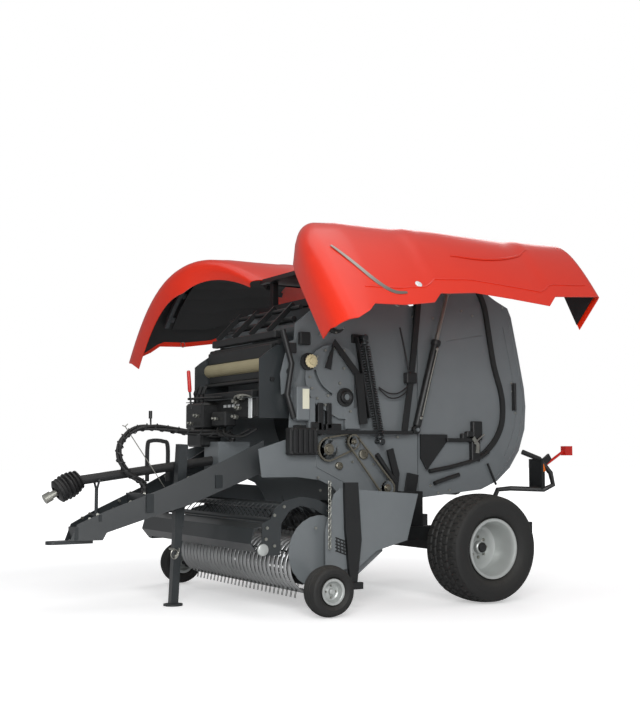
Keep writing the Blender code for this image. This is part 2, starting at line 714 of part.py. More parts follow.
def build_drive_shaft():
    """Guarded shaft to the tractor: tube, ribbed cone, support, and the yoke that turns."""
    rear, knee = Vector((0, GEARBOX_Y + 0.02, 1.112)), Vector((0, -1.44, 0.962))
    tip = Vector((0, -1.655, 0.842))
    lean = (tip - knee).normalized()
    tube = bar(rear, knee, 0.036, 20)
    cone = bar(knee - lean * 0.03, knee + lean * 0.16, 0.062, 20, end_radius=0.092)
    bore = bar(knee + lean * 0.05, knee + lean * 0.20, 0.052, 20, end_radius=0.080)
    seat = block((-0.2, GEARBOX_Y - SKIN_GAP, 0.9), (0.2, GEARBOX_Y + 0.2, 1.4))
    node(cut(join(tube, cone), bore, seat), "drive_shaft_guard", PLASTIC)
    start = knee + lean * 0.0505
    carrier = empty("drive_shaft", start, BALER)
    stub = bar(start, start + lean * 0.19, 0.028)
    head = bar(start + lean * 0.17, start + lean * 0.225, 0.038)
    node(join(stub, head), "drive_shaft_yoke", STEEL, carrier)
    box = block((-0.13, GEARBOX_Y, 0.98), (0.13, BAR_REAR_Y + 0.02 - SKIN_GAP, 1.26))
    node(box, "gearbox", GREY)


# ---------------------------------------------------------------- pick-up
def build_pickup(pickup):
    """Side plates, front shields and back beam in one welded frame, and the stripper bands."""
    pieces = []
    for _, side in both_sides():
        x_low, x_high = span(side, SIDE_X, SIDE_X + PLATE_T)
        outline = [(0.10, 0.29), (0.40, 0.32), (0.55, 0.43), (0.84, 0.50), (0.947, 0.853), (0.224, 0.907),
                   (0.17, 0.86), (0.10, 0.60)]
        pieces.append(plate(outline, x_low, x_high))
        x_low, x_high = span(side, SHIELD_X, SHIELD_X + PLATE_T)
        front = arc((0.10, 0.44), 0.27, 80, 270, 14)
        pieces.append(plate(front + [(0.36, 0.20), (0.66, 0.42), (0.66, 0.66)], x_low, x_high))
        inner, outer = side * (WALL_X + SKIN_GAP), side * (SHIELD_X + PLATE_T / 2)
        pieces.append(bar((inner, PICKUP_Y, PICKUP_Z), (outer, PICKUP_Y, PICKUP_Z), 0.030))
    reach = SIDE_X + PLATE_T / 2
    beam = block((-reach, 0.39, 0.44), (reach, 0.44, 0.52))
    node(join(beam, *pieces), "pickup_frame", GREY, pickup)
    path = [(0.42, 0.5235), (0.20, 0.5225)] + arc((DRUM_Y, DRUM_Z), BAND_R, 80, 285, 12)
    node(ribbon(path, -BAND_X, BAND_X, 0.006), "stripper_bands", SILVER, pickup)


def build_reel(pickup):
    """The tine reel that turns inside the bands: core, spiders and tine bars."""
    carrier = empty("pickup_reel_axis", (0, DRUM_Y, DRUM_Z), pickup)
    reach = SHIELD_X - SKIN_GAP
    core = bar((-reach, DRUM_Y, DRUM_Z), (reach, DRUM_Y, DRUM_Z), 0.035, 12)
    parts = []
    for x in (-0.80, 0.0, 0.80):
        parts.append(bar((x - 0.004, DRUM_Y, DRUM_Z), (x + 0.004, DRUM_Y, DRUM_Z), 0.150, 12))
    for y, z in arc((DRUM_Y, DRUM_Z), 0.13, 45, 315, 4):
        parts.append(bar((-0.95, y, z), (0.95, y, z), 0.013, 6))
    node(join(core, *parts), "tine_reel", DARK, carrier)


def build_wind_guard(pickup):
    """The bent deflector, its tubes and its side arms, hinged on the pick-up."""
    carrier = empty("wind_guard_hinge", (0, GUARD_Y, GUARD_Z), pickup)
    path = [(-0.36, 0.655), (-0.46, 0.625), (-0.49, 0.52), (-0.44, 0.46), (-0.36, 0.445)]
    sheet = ribbon(path, -1.003, 1.003, 0.006)
    arm = [(-0.40, 0.43), (-0.40, 0.665), (-0.33, 0.69), (-0.30, 0.76), (-0.22, 0.82), (-0.08, 0.85),
           (0.06, 0.83), (0.20, 0.76), (0.235, 0.71), (0.18, 0.68), (0.04, 0.755), (-0.08, 0.785),
           (-0.17, 0.75), (-0.24, 0.66), (-0.25, 0.43)]
    pieces = []
    for side in (1, -1):
        pieces.append(plate(arm, *span(side, 0.999, 1.007)))
        reach = SIDE_X - SKIN_GAP
        pieces.append(bar((side * 1.003, GUARD_Y, GUARD_Z), (side * reach, GUARD_Y, GUARD_Z), 0.02, 12))
    pieces.append(bar((-1.003, -0.20, 0.775), (1.003, -0.20, 0.775), 0.022, 12))
    pieces.append(bar((-1.003, -0.30, 0.680), (1.003, -0.30, 0.680), 0.022, 12))
    node(join(sheet, *pieces), "wind_guard", GREY, carrier)


def build_gauge_wheels(pickup):
    for word, side in both_sides():
        hub = (side * GAUGE_X, 0, GAUGE_R)
        carrier = empty(word + "_gauge_wheel", hub, pickup)
        tyre = turned(tyre_profile(GAUGE_R, GAUGE_W, GAUGE_BEAD_R, 0.03), hub, side, 18)
        node(tyre, word + "_gauge_tyre", RUBBER, carrier)
        rim = turned(gauge_rim_profile(), hub, side, 18)
        node(rim, word + "_gauge_rim", SILVER, carrier)
        outer = SIDE_X + PLATE_T + SKIN_GAP
        x_low, x_high = span(side, outer, outer + 0.03)
        upright = plate([(0.30, 0.20), (0.36, 0.20), (0.40, 0.52), (0.37, 0.95), (0.25, 0.95), (0.26, 0.60)],
                        x_low, x_high)
        x_low, x_high = span(side, outer + 0.01, outer + 0.05)
        foot = block((x_low, -0.03, GAUGE_R - 0.025), (x_high, 0.40, GAUGE_R + 0.025))
        reach = GAUGE_X - 0.060 - SKIN_GAP
        spindle = bar((side * (outer + 0.02), 0, GAUGE_R), (side * reach, 0, GAUGE_R), 0.018, 12)
        node(join(upright, foot, spindle), word + "_gauge_arm", DARK, pickup)


def build_feed_rotor():
    carrier = empty("feed_rotor_axis", (0, PICKUP_Y, PICKUP_Z), BALER)
    reach = WALL_X - WALL_T - SKIN_GAP
    core = bar((-reach, PICKUP_Y, PICKUP_Z), (reach, PICKUP_Y, PICKUP_Z), 0.06, 16)
    stars = []
    for i in range(5):
        x = -0.48 + 0.24 * i
        tips = arc((PICKUP_Y, PICKUP_Z), 0.165, 15 * i, 15 * i + 270, 4)
        notches = arc((PICKUP_Y, PICKUP_Z), 0.075, 15 * i + 45, 15 * i + 315, 4)
        star = [place for pair in zip(tips, notches) for place in pair]
        stars.append(plate(star, x - 0.004, x + 0.004))
    node(join(core, *stars), "feed_rotor", DARK, carrier)


# ---------------------------------------------------------------- tailgate rams
def build_rams(tailgate):
    low, high = Vector((0, *RAM_LOW)), Vector((0, *RAM_HIGH))
    along = (high - low).normalized()
    for word, side in both_sides():
        x_low, x_high = span(side, RAM_X - EYE_W / 2, RAM_X + EYE_W / 2)
        x = Vector((side * RAM_X, 0, 0))
        barrel_carrier = empty(word + "_ram_barrel_hinge", low + x, BALER)
        eye = plate(circle(RAM_LOW, 0.035), x_low, x_high, holes=(circle(RAM_LOW, RAM_PIN_R + PIN_GAP, 12),))
        tube = bar(low + x + along * 0.030, low + x + along * RAM_BARREL, 0.034, 16)
        bore = bar(low + x + along * 0.10, low + x + along * (RAM_BARREL + 0.02), 0.022, 12)
        node(cut(join(tube, eye), bore), word + "_ram_barrel", DARK, barrel_carrier)
        rod_carrier = empty(word + "_ram_rod_slide", high + x, barrel_carrier)
        rod = bar(low + x + along * 0.40, high + x - along * 0.025, 0.018, 12)
        eye = plate(circle(RAM_HIGH, 0.032), x_low, x_high)
        inner, outer = side * (WALL_X + SKIN_GAP), side * (RAM_X + EYE_W / 2 + 0.005)
        pin = bar((inner, *RAM_HIGH), (outer, *RAM_HIGH), RAM_PIN_R, 12)
        collar = bar((inner, *RAM_HIGH), (side * (RAM_X - EYE_W / 2 + 0.002), *RAM_HIGH), 0.026, 12)
        node(join(rod, eye, pin, collar), word + "_ram_rod", STEEL, rod_carrier)


# ---------------------------------------------------------------- drive on the left side
def belt(first, second, offset):
    """Outline of a chain round two sprockets, that far outside them."""
    (y0, z0, r0, _), (y1, z1, r1, _) = first, second
    way = math.degrees(math.atan2(z1 - z0, y1 - y0))
    lap = math.degrees(math.acos((r0 - r1) / math.hypot(y1 - y0, z1 - z0)))
    steps = 13
    one = arc((y0, z0), (r0 + offset) / math.cos(math.radians(360 - 2 * lap) / 24), way + lap,
              way + 360 - lap, steps)
    two = arc((y1, z1), (r1 + offset) / math.cos(math.radians(2 * lap) / 24), way - lap, way + lap, steps)
    return one + two


def build_drive():
    """Drive side: slotted quadrant plate, covers, sprockets, chain and the long spring."""
    x_low, x_high = WALL_X + SKIN_GAP, WALL_X + SKIN_GAP + 0.008
    quadrant = arc((0.42, 1.76), 0.27, 60, 250, 12)
    quadrant += [(0.46, 1.44), (0.60, 1.44), (0.60, 1.70), (0.62, 1.92)]
    slot = arc((0.48, 1.86), 0.26, 190, 250, 7) + arc((0.48, 1.86), 0.235, 250, 190, 7)
    hub = bar((x_low, 0.51, 1.61), (x_low + 0.075, 0.51, 1.61), 0.045, 20)
    made = plate(quadrant, x_low + 0.03, x_high + 0.03, holes=(slot,))
    node(join(made, hub), "quadrant_plate", GREY)
    node(block((x_low, -0.02, 1.15), (WALL_X + 0.12, 0.24, 1.37)), "drive_guard", PLASTIC)
    outline = [(0.27, 1.06), (0.82, 0.80), (0.95, 0.82), (0.96, 0.92), (0.62, 1.36), (0.30, 1.32)]
    back = plate(outline, x_low, x_high)
    discs = []
    for y, z, radius, reach in SPROCKETS:
        discs.append(bar((x_low, y, z), (reach + 0.012, y, z), 0.022, 12))
        discs.append(bar((reach - 0.003, y, z), (reach + 0.003, y, z), radius, 24))
    node(join(back, *discs), "chain_drive", GREY)
    for name, first, second in CHAINS:
        inner = belt(SPROCKETS[first], SPROCKETS[second], 0.0005)
        outer = belt(SPROCKETS[first], SPROCKETS[second], 0.014)
        x = SPROCKETS[first][3]
        node(plate(outer, x - 0.009, x + 0.009, holes=(inner,)), name, STEEL)
    for word, side in both_sides():
        start, end = (side * SPRING_X, 0.68, 2.09), (side * SPRING_X, 0.84, 1.26)
        rod = bar(start, end, 0.014, 12)
        coil = bar(Vector(start).lerp(Vector(end), 0.08), Vector(start).lerp(Vector(end), 0.92), 0.038)
        pins = []
        for _, y, z in (start, end):
            pins.append(bar((side * (WALL_X + SKIN_GAP), y, z), (side * (SPRING_X + 0.03), y, z), 0.020, 12))
        node(join(rod, coil, *pins), word + "_density_spring", STEEL)


# ---------------------------------------------------------------- hoses, lamps
def build_hoses():
    """The bundle of hoses from the gearbox's top, over the jack and down to the drawbar."""
    bend = [(-0.18, 1.2603), (-0.18, 1.30), (-0.23, 1.325), (-0.36, 1.33), (-0.54, 1.335)]
    bend += [(-0.85, 1.37), (-0.98, 1.36), (-1.08, 1.31), (-1.13, 1.23), (-1.13, 1.12)]
    bend += [(-1.06, 1.02), (-0.96, 0.96), (-0.93, 0.92), (-0.93, 0.8603)]
    node(pipe([(0.085, y, z) for y, z in bend], 0.028), "hose_bundle", PLASTIC)


def build_lamps():
    """Bent tube brackets on the rear of the chassis, each with its board and tail lamp."""
    for word, side in both_sides():
        bend = ((0.75, 1.96, 0.75), (0.75, 2.02, 0.86), (0.80, 2.12, 0.87), (0.95, 2.36, 0.86),
                (1.0, 2.42, 0.90), (0.96, 2.43, 1.0), (0.9, 2.36, 1.12), (0.84, 2.22, 1.18))
        tube = pipe([(side * x, y, z) for x, y, z in bend], 0.022)
        foot = block(*zip(span(side, 0.72, 0.78), (1.93, 1.99), (0.5806, 0.77)))
        board = block(*zip(span(side, 0.80, 0.96), (2.33, 2.35), (0.86, 1.12)))
        node(join(tube, foot, board), word + "_lamp_bracket", DARK)
        stalk = bar((side * 0.85, 2.355, 1.00), (side * 0.95, 2.60, 1.19), 0.012, 10)
        flange = block(*zip(span(side, 0.82, 0.88), (2.35 + SKIN_GAP, 2.362), (0.97, 1.03)))
        head = block(*zip(span(side, 0.92, 0.98), (2.59, 2.67), (1.15, 1.23)))
        seat = block(*zip(span(side, 0.78, 0.98), (2.30, 2.35 + SKIN_GAP), (0.90, 1.10)))
        node(cut(join(stalk, head, flange), seat), word + "_tail_lamp", LAMP)


def main():
    tailgate = empty("tailgate", (0, PIVOT_Y, PIVOT_Z), BALER)
    pickup = empty("pickup", (0, PICKUP_Y, PICKUP_Z), BALER)
    build_wheels()
    build_axle()
    build_walls(tailgate)
    build_skins(tailgate)
    build_rollers(tailgate)
    build_hood_frames(build_hoods())
    build_roof()
    build_drawbar()
    build_jack()
    build_front_frame()
    build_net_box()
    build_drive_shaft()
    build_pickup(pickup)
    build_reel(pickup)
    build_wind_guard(pickup)
    build_gauge_wheels(pickup)
    build_feed_rotor()
    build_rams(tailgate)
    build_drive()
    build_hoses()
    build_lamps()


main()
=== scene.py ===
# %% [markdown]
# # Round baler: the finish of every surface
# A round baler picks cut grass up with a tined reel, rolls it into a bale between steel rollers
# and drops the bale out of its tailgate.  The working frame already exists as solids.  This
# lesson loads that frame and dresses it: paint, rubber, plastics, tines, bands, chains and hoses.

# %% Load the working frame
import json
import math
import bmesh
import bpy
from mathutils import Matrix, Vector


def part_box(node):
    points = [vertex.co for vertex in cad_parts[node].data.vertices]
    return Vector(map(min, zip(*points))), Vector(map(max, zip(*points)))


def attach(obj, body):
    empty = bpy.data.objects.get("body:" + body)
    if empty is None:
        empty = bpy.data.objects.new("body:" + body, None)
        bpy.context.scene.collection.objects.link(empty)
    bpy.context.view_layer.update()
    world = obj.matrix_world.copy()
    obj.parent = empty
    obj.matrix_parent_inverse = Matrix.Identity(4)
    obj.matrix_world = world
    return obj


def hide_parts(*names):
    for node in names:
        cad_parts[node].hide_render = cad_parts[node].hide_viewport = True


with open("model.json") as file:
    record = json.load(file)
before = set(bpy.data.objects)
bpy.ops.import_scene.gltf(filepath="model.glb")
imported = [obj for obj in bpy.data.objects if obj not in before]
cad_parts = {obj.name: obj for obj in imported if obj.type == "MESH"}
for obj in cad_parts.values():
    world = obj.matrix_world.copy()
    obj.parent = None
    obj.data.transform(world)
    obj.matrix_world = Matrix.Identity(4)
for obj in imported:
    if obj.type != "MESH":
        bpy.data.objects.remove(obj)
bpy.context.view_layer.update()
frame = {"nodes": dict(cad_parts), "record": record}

# %% [markdown]
# ## Where things are
# The pieces below are placed from the solids' own boxes.  Y_SHIFT carries a distance measured
# behind the gauge wheels' axle into the frame, where y = 0 is the middle of the machine.

# %% Reference places
tyre_low, tyre_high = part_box("left_tyre")
gauge_low, gauge_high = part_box("left_gauge_tyre")
Y_SHIFT = (gauge_low[1] + gauge_high[1]) / 2
WHEEL = Vector([(a + b) / 2 for a, b in zip(tyre_low, tyre_high)])
TYRE_RADIUS = (tyre_high[2] - tyre_low[2]) / 2
print("gauge wheel line y", round(Y_SHIFT, 4), "main wheel", [round(v, 3) for v in WHEEL])


def place(x, y, z):
    """A point given behind the gauge wheel line, in the frame."""
    return Vector((x, y + Y_SHIFT, z))


# %% [markdown]
# ## Camera
# A long lens from the front left, a little above knee height, looks slightly up at the machine.

# %% Camera
camera_data = bpy.data.cameras.new("view")
camera_data.lens = 55.9
camera_data.sensor_fit = "VERTICAL"
camera_data.sensor_height = 36
camera_data.clip_end = 200
camera = bpy.data.objects.new("view", camera_data)
camera.location = place(8.223, -4.315, 1.169)
look = Vector((-0.8509, 0.5193, 0.0792))
camera.rotation_euler = look.to_track_quat("-Z", "Y").to_euler()
bpy.context.scene.collection.objects.link(camera)
bpy.context.scene.camera = camera
print("camera at", tuple(round(v, 3) for v in camera.location))

# %% [markdown]
# ## Node helpers
# Every finish is a small node tree.  One function adds a node with its settings and its links,
# and one turns the hex colours of a paint chart into the linear numbers the shader wants.


# %% Node and colour helpers
def linear(hex_colour):
    """A #RRGGBB colour of a paint chart as a linear colour with alpha 1."""
    channels = [int(hex_colour[i:i + 2], 16) / 255 for i in (1, 3, 5)]
    return (*[c / 12.92 if c <= 0.04045 else ((c + 0.055) / 1.055) ** 2.4 for c in channels], 1)


def add_node(tree, kind, links=None, values=None, **settings):
    """Adds a node: settings are its properties, values its sockets, links what feeds them."""
    made = tree.nodes.new(kind)
    for key, value in settings.items():
        setattr(made, key, value)
    for key, value in (values or {}).items():
        made.inputs[key].default_value = value
    for key, source in (links or {}).items():
        tree.links.new(source, made.inputs[key])
    return made


# %% [markdown]
# ## Finishes
# Each finish starts from what the real surface is.  All of them share one recipe: a broad, faint
# change of colour (dust and handling), a fine one in roughness, and a bump whose grain is the
# real grain of the surface.  They read Object coordinates, so the pattern stays with the piece.


# %% The shared recipe
def finish(name, colour, worn, roughness, grain_mm, bump_mm, metallic=0.0, coat=0.0, patch_mm=260,
           spread=0.10, dust="#8A8478", dust_amount=0.10):
    """A surface of two near colours, a roughness that wanders, dust and a real-size grain."""
    made = bpy.data.materials.new(name)
    made.use_nodes = True
    tree = made.node_tree
    shader = tree.nodes["Principled BSDF"]
    shader.inputs["Metallic"].default_value = metallic
    shader.inputs["Coat Weight"].default_value = coat
    shader.inputs["Coat Roughness"].default_value = 0.08
    at = add_node(tree, "ShaderNodeTexCoord").outputs["Object"]
    patches = add_node(tree, "ShaderNodeTexNoise", {"Vector": at},
                       {"Scale": 1000 / patch_mm, "Detail": 5.0, "Roughness": 0.6})
    tint = add_node(tree, "ShaderNodeMix", {0: patches.outputs["Fac"]}, data_type="RGBA")
    tint.inputs["A"].default_value = linear(colour)
    tint.inputs["B"].default_value = linear(worn)
    up = add_node(tree, "ShaderNodeNewGeometry")
    split = add_node(tree, "ShaderNodeSeparateXYZ", {0: up.outputs["Normal"]})
    fine = add_node(tree, "ShaderNodeTexNoise", {"Vector": at}, {"Scale": 45.0, "Detail": 4.0})
    settle = add_node(tree, "ShaderNodeMath", {0: split.outputs["Z"], 1: fine.outputs["Fac"]},
                      operation="MULTIPLY", use_clamp=True)
    thin = add_node(tree, "ShaderNodeMath", {0: settle.outputs[0]}, {1: dust_amount},
                    operation="MULTIPLY")
    dusted = add_node(tree, "ShaderNodeMix", {0: thin.outputs[0], "A": tint.outputs["Result"]},
                      data_type="RGBA")
    dusted.inputs["B"].default_value = linear(dust)
    tree.links.new(dusted.outputs["Result"], shader.inputs["Base Color"])
    sheen = add_node(tree, "ShaderNodeMapRange", {"Value": patches.outputs["Fac"]},
                     {"To Min": max(roughness - spread, 0.05), "To Max": min(roughness + spread, 1)})
    tree.links.new(sheen.outputs["Result"], shader.inputs["Roughness"])
    grain = add_node(tree, "ShaderNodeTexNoise", {"Vector": at},
                     {"Scale": 1000 / grain_mm, "Detail": 3.0})
    bump = add_node(tree, "ShaderNodeBump", {"Height": grain.outputs["Fac"]},
                    {"Strength": 0.6, "Distance": bump_mm / 1000})
    tree.links.new(bump.outputs["Normal"], shader.inputs["Normal"])
    return made


# %% Paints, rubber and plastics
FINISHES = {
    # Acrylic topcoat on welded sheet steel: dark, faintly green grey, soft sheen, orange peel.
    "charcoal_paint": finish("charcoal_topcoat", "#62676A", "#6E7375", 0.32, 9, 0.05, coat=0.25),
    # Powder coat on tubes and brackets: blacker and finer, no clear coat.
    "black_paint": finish("black_powder_coat", "#0F1011", "#17191A", 0.45, 4, 0.04),
    # Pigmented, polished plastic moulding: a clear gloss over a saturated orange red.
    "red_hood_paint": finish("gloss_red_moulding", "#D42406", "#DA2C0A", 0.34, 60, 0.10, coat=0.12,
                             spread=0.05, dust_amount=0.0),
    # Vulcanised tyre rubber: near black with a dry bloom.
    "tyre_rubber": finish("tyre_rubber", "#141414", "#1F1F1E", 0.72, 3, 0.10, dust_amount=0.16),
    # Aluminium-coloured enamel on pressed rims.
    "silver_rim_paint": finish("silver_rim_enamel", "#B9BCBA", "#A5A9A7", 0.34, 6, 0.04,
                               metallic=0.35),
    # Zinc-plated steel: bright with a faint cloud.
    "bright_steel": finish("zinc_plated_steel", "#A9A9A2", "#8C8C84", 0.33, 14, 0.03,
                           metallic=0.85),
    # Moulded polypropylene with a fine leather-like grain.
    "black_plastic": finish("grained_black_plastic", "#151617", "#1E1F20", 0.58, 2.5, 0.08),
    # Knitted polythene net wound on its roll.
    "net_wrap": finish("knitted_net", "#A39A7C", "#8F8669", 0.75, 3, 0.25),
    # Coloured acrylic of the tail lamps.
    "lamp_lens": finish("red_lamp_acrylic", "#B3150C", "#C61F10", 0.14, 5, 0.02, coat=0.5),
}
for node, thing in frame["nodes"].items():
    slot = next(p["material_slot"] for p in frame["record"]["subparts"] if p["node"] == node)
    thing.data.materials.clear()
    thing.data.materials.append(FINISHES[slot])
print("finishes on", len(frame["nodes"]), "nodes")

# %% [markdown]
# ## Studio
# A wide pale floor, a world that is white to the lens and soft to the object, and three large
# soft lamps.  The world shows white only to the camera and through clear parts.


# %% Floor, world and lamps
floor_mesh = bmesh.new()
bmesh.ops.create_grid(floor_mesh, x_segments=1, y_segments=1, size=60)
floor_data = bpy.data.meshes.new("floor")
floor_mesh.to_mesh(floor_data)
floor_mesh.free()
floor = bpy.data.objects.new("floor", floor_data)
floor.location.z = -0.001
bpy.context.scene.collection.objects.link(floor)
floor_paint = bpy.data.materials.new("pale_floor")
floor_paint.use_nodes = True
tree = floor_paint.node_tree
tree.nodes["Principled BSDF"].inputs["Base Color"].default_value = (0.86, 0.86, 0.86, 1)
tree.nodes["Principled BSDF"].inputs["Roughness"].default_value = 0.9
rays = add_node(tree, "ShaderNodeLightPath")
at = add_node(tree, "ShaderNodeTexCoord").outputs["Object"]
away = add_node(tree, "ShaderNodeVectorMath", {0: at}, operation="LENGTH")
lift = add_node(tree, "ShaderNodeMapRange", {"Value": away.outputs["Value"]},
                {"From Min": 3.2, "From Max": 8.0, "To Min": 0.42, "To Max": 1.0})
shown = add_node(tree, "ShaderNodeMath", {0: lift.outputs["Result"], 1: rays.outputs["Is Camera Ray"]},
                 operation="MULTIPLY")
tree.nodes["Principled BSDF"].inputs["Emission Color"].default_value = (1, 1, 1, 1)
tree.links.new(shown.outputs[0], tree.nodes["Principled BSDF"].inputs["Emission Strength"])
floor_data.materials.append(floor_paint)

world = bpy.data.worlds.new("studio")
world.use_nodes = True
bpy.context.scene.world = world
tree = world.node_tree
tree.nodes.clear()
rays = add_node(tree, "ShaderNodeLightPath")
seen = add_node(tree, "ShaderNodeMath", {0: rays.outputs["Is Camera Ray"], 1: rays.outputs["Is Transmission Ray"]},
                operation="MAXIMUM")
soft = add_node(tree, "ShaderNodeBackground", values={"Color": (0.97, 0.98, 1, 1), "Strength": 0.34})
white = add_node(tree, "ShaderNodeBackground", values={"Color": (1, 1, 1, 1), "Strength": 1.0})
mixed = add_node(tree, "ShaderNodeMixShader", {0: seen.outputs[0], 1: soft.outputs[0], 2: white.outputs[0]})
add_node(tree, "ShaderNodeOutputWorld", {0: mixed.outputs[0]})

LAMPS = (                                    # name, place, size in metres, watts
    ("key", (7.5, -4.0, 3.6), 4.0, 520),
    ("top", (0.5, 0.0, 8.0), 6.0, 130),
    ("back", (-5.0, 6.0, 5.0), 4.0, 160),
)
for name, spot, size, watts in LAMPS:
    lamp_data = bpy.data.lights.new(name, "AREA")
    lamp_data.size = size
    lamp_data.energy = watts
    lamp = bpy.data.objects.new(name, lamp_data)
    lamp.location = spot
    aim = Vector((0, 0, 1.0)) - Vector(spot)
    lamp.rotation_euler = aim.to_track_quat("-Z", "Y").to_euler()
    bpy.context.scene.collection.objects.link(lamp)
bpy.context.scene.view_settings.view_transform = "Standard"
print("lamps", [row[0] for row in LAMPS])

# %% [markdown]
# ## Making pieces
# A finished piece is a plain mesh at the origin that rides on one moving body.  The helpers
# below sweep a section along points (hoses, rods, seals) and turn a profile about an axis (tyres,
# rims, bells).  Both write into one open bmesh, so a piece can be joined from many runs.


# %% Sweeping and turning
def finished(name, mesh, paint, body, angle=35, replaces=()):
    """Closes a bmesh into a named piece that rides on its body."""
    data = bpy.data.meshes.new(name)
    mesh.to_mesh(data)
    mesh.free()
    return hand_over(name, data, paint, body, angle, replaces)


def hand_over(name, data, paint, body, angle=35, replaces=()):
    """Gives mesh data its finish, its shading and its body."""
    data.name = name
    data.materials.clear()
    data.materials.append(paint)
    data.shade_smooth()
    data.set_sharp_from_angle(angle=math.radians(angle))
    made = bpy.data.objects.new(name, data)
    bpy.context.scene.collection.objects.link(made)
    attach(made, body)
    if replaces:
        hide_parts(*replaces)
    return made


def ring_section(radius, sides):
    """A round section as (across, up) pairs, anticlockwise."""
    return [(radius * math.cos(2 * math.pi * i / sides), radius * math.sin(2 * math.pi * i / sides))
            for i in range(sides)]


def strip_section(width, height):
    """A flat section as (across, up) pairs, anticlockwise."""
    return [(-width / 2, -height / 2), (width / 2, -height / 2), (width / 2, height / 2), (-width / 2, height / 2)]


def sweep(mesh, points, section, up=(0, 0, 1), scales=None, closed=False):
    """Carries a section along points; its up side stays as near to `up` as the path allows."""
    points = [Vector(p) for p in points]
    count = len(points)
    rings = []
    for i, point in enumerate(points):
        before = points[i - 1] if i or closed else point
        after = points[(i + 1) % count] if i < count - 1 or closed else point
        along = (after - before).normalized()
        across = along.cross(Vector(up))
        if across.length < 1e-3:
            across = along.cross(Vector((0.0, 1.0, 0.02)))
        across.normalize()
        lift = across.cross(along)
        scale = scales[i] if scales else 1.0
        rings.append([mesh.verts.new(point + across * a * scale + lift * b * scale) for a, b in section])
    sides = len(section)
    for i in range(count if closed else count - 1):
        one, two = rings[i], rings[(i + 1) % count]
        for k in range(sides):
            mesh.faces.new((one[k], two[k], two[(k + 1) % sides], one[(k + 1) % sides]))
    if not closed:
        mesh.faces.new(rings[0])
        mesh.faces.new(rings[-1][::-1])


def smooth_path(points, steps=6):
    """A rounded path through the points (Catmull-Rom)."""
    points = [Vector(p) for p in points]
    ends = [points[0] * 2 - points[1]] + points + [points[-1] * 2 - points[-2]]
    path = []
    for a, b, c, d in zip(ends, ends[1:], ends[2:], ends[3:]):
        for i in range(steps):
            t = i / steps
            path.append(((b * 2) + (c - a) * t + (a * 2 - b * 5 + c * 4 - d) * t * t
                         + (b * 3 - a - c * 3 + d) * t ** 3) / 2)
    return path + [points[-1]]


def turn(mesh, profile, centre, axis, steps):
    """Turns (radius, along) pairs about an axis; a first radius of 0 closes it on the axis."""
    axis = Vector(axis).normalized()
    first = axis.orthogonal().normalized()
    second = axis.cross(first)
    solid = profile[0][0] == 0
    rings = []
    for radius, along in profile:
        base = Vector(centre) + axis * along
        if radius == 0:
            rings.append([mesh.verts.new(base)] * steps)
            continue
        rings.append([mesh.verts.new(base + (first * math.cos(a) + second * math.sin(a)) * radius)
                      for a in (2 * math.pi * i / steps for i in range(steps))])
    pairs = list(zip(rings, rings[1:])) + ([] if solid else [(rings[-1], rings[0])])
    for one, two in pairs:
        for i in range(steps):
            k = (i + 1) % steps
            corners = list(dict.fromkeys((one[i], two[i], two[k], one[k])))
            mesh.faces.new(corners)
    bmesh.ops.recalc_face_normals(mesh, faces=mesh.faces)


def brick(mesh, low, high):
    """A box between two corners with slightly broken edges."""
    size = Vector(high) - Vector(low)
    middle = (Vector(high) + Vector(low)) / 2
    made = bmesh.ops.create_cube(mesh, size=1, matrix=Matrix.Translation(middle) @ Matrix.Diagonal((*size, 1)))
    edges = list({e for v in made["verts"] for e in v.link_edges})
    bmesh.ops.bevel(mesh, geom=edges, offset=min(size) * 0.12, segments=1, affect="EDGES")


def arc_points(centre, radius, start, end, count):
    """(y, z) points on a circle between two angles in degrees."""
    angles = [math.radians(start + (end - start) * i / (count - 1)) for i in range(count)]
    return [(centre[0] + radius * math.cos(a), centre[1] + radius * math.sin(a)) for a in angles]


# %% [markdown]
# ## What repeats
# Screws, bands, tines and wheel nuts repeat by a rule, so Geometry Nodes place them: along a
# row, round an axis, or on marked points; a tree for placing along a path is built as well.  Each
# tree ends in Realize Instances and Set Material, and its result is kept as plain mesh.


# %% The four placing trees
def new_tree(name, sizes):
    """An empty tree with a mesh in, named inputs and a mesh out."""
    tree = bpy.data.node_groups.new(name, "GeometryNodeTree")
    tree.interface.new_socket("Geometry", in_out="INPUT", socket_type="NodeSocketGeometry")
    for label, kind in sizes:
        tree.interface.new_socket(label, in_out="INPUT", socket_type=kind)
    tree.interface.new_socket("Geometry", in_out="OUTPUT", socket_type="NodeSocketGeometry")
    return tree, tree.nodes.new("NodeGroupInput").outputs


def close_tree(tree, shapes, paint):
    """Ends a tree: realize what was placed, paint it, hand it out."""
    real = add_node(tree, "GeometryNodeRealizeInstances", {"Geometry": shapes})
    painted = add_node(tree, "GeometryNodeSetMaterial", {"Geometry": real.outputs[0], "Material": paint})
    add_node(tree, "NodeGroupOutput", {0: painted.outputs[0]})
    return tree


tree, given = new_tree("along_a_row", (("Count", "NodeSocketInt"), ("Step", "NodeSocketVector"),
                                       ("Paint", "NodeSocketMaterial")))
line = add_node(tree, "GeometryNodeMeshLine", {"Count": given["Count"], "Offset": given["Step"]})
stops = add_node(tree, "GeometryNodeInstanceOnPoints", {"Points": line.outputs[0], "Instance": given["Geometry"]})
ALONG_A_ROW = close_tree(tree, stops.outputs[0], given["Paint"])

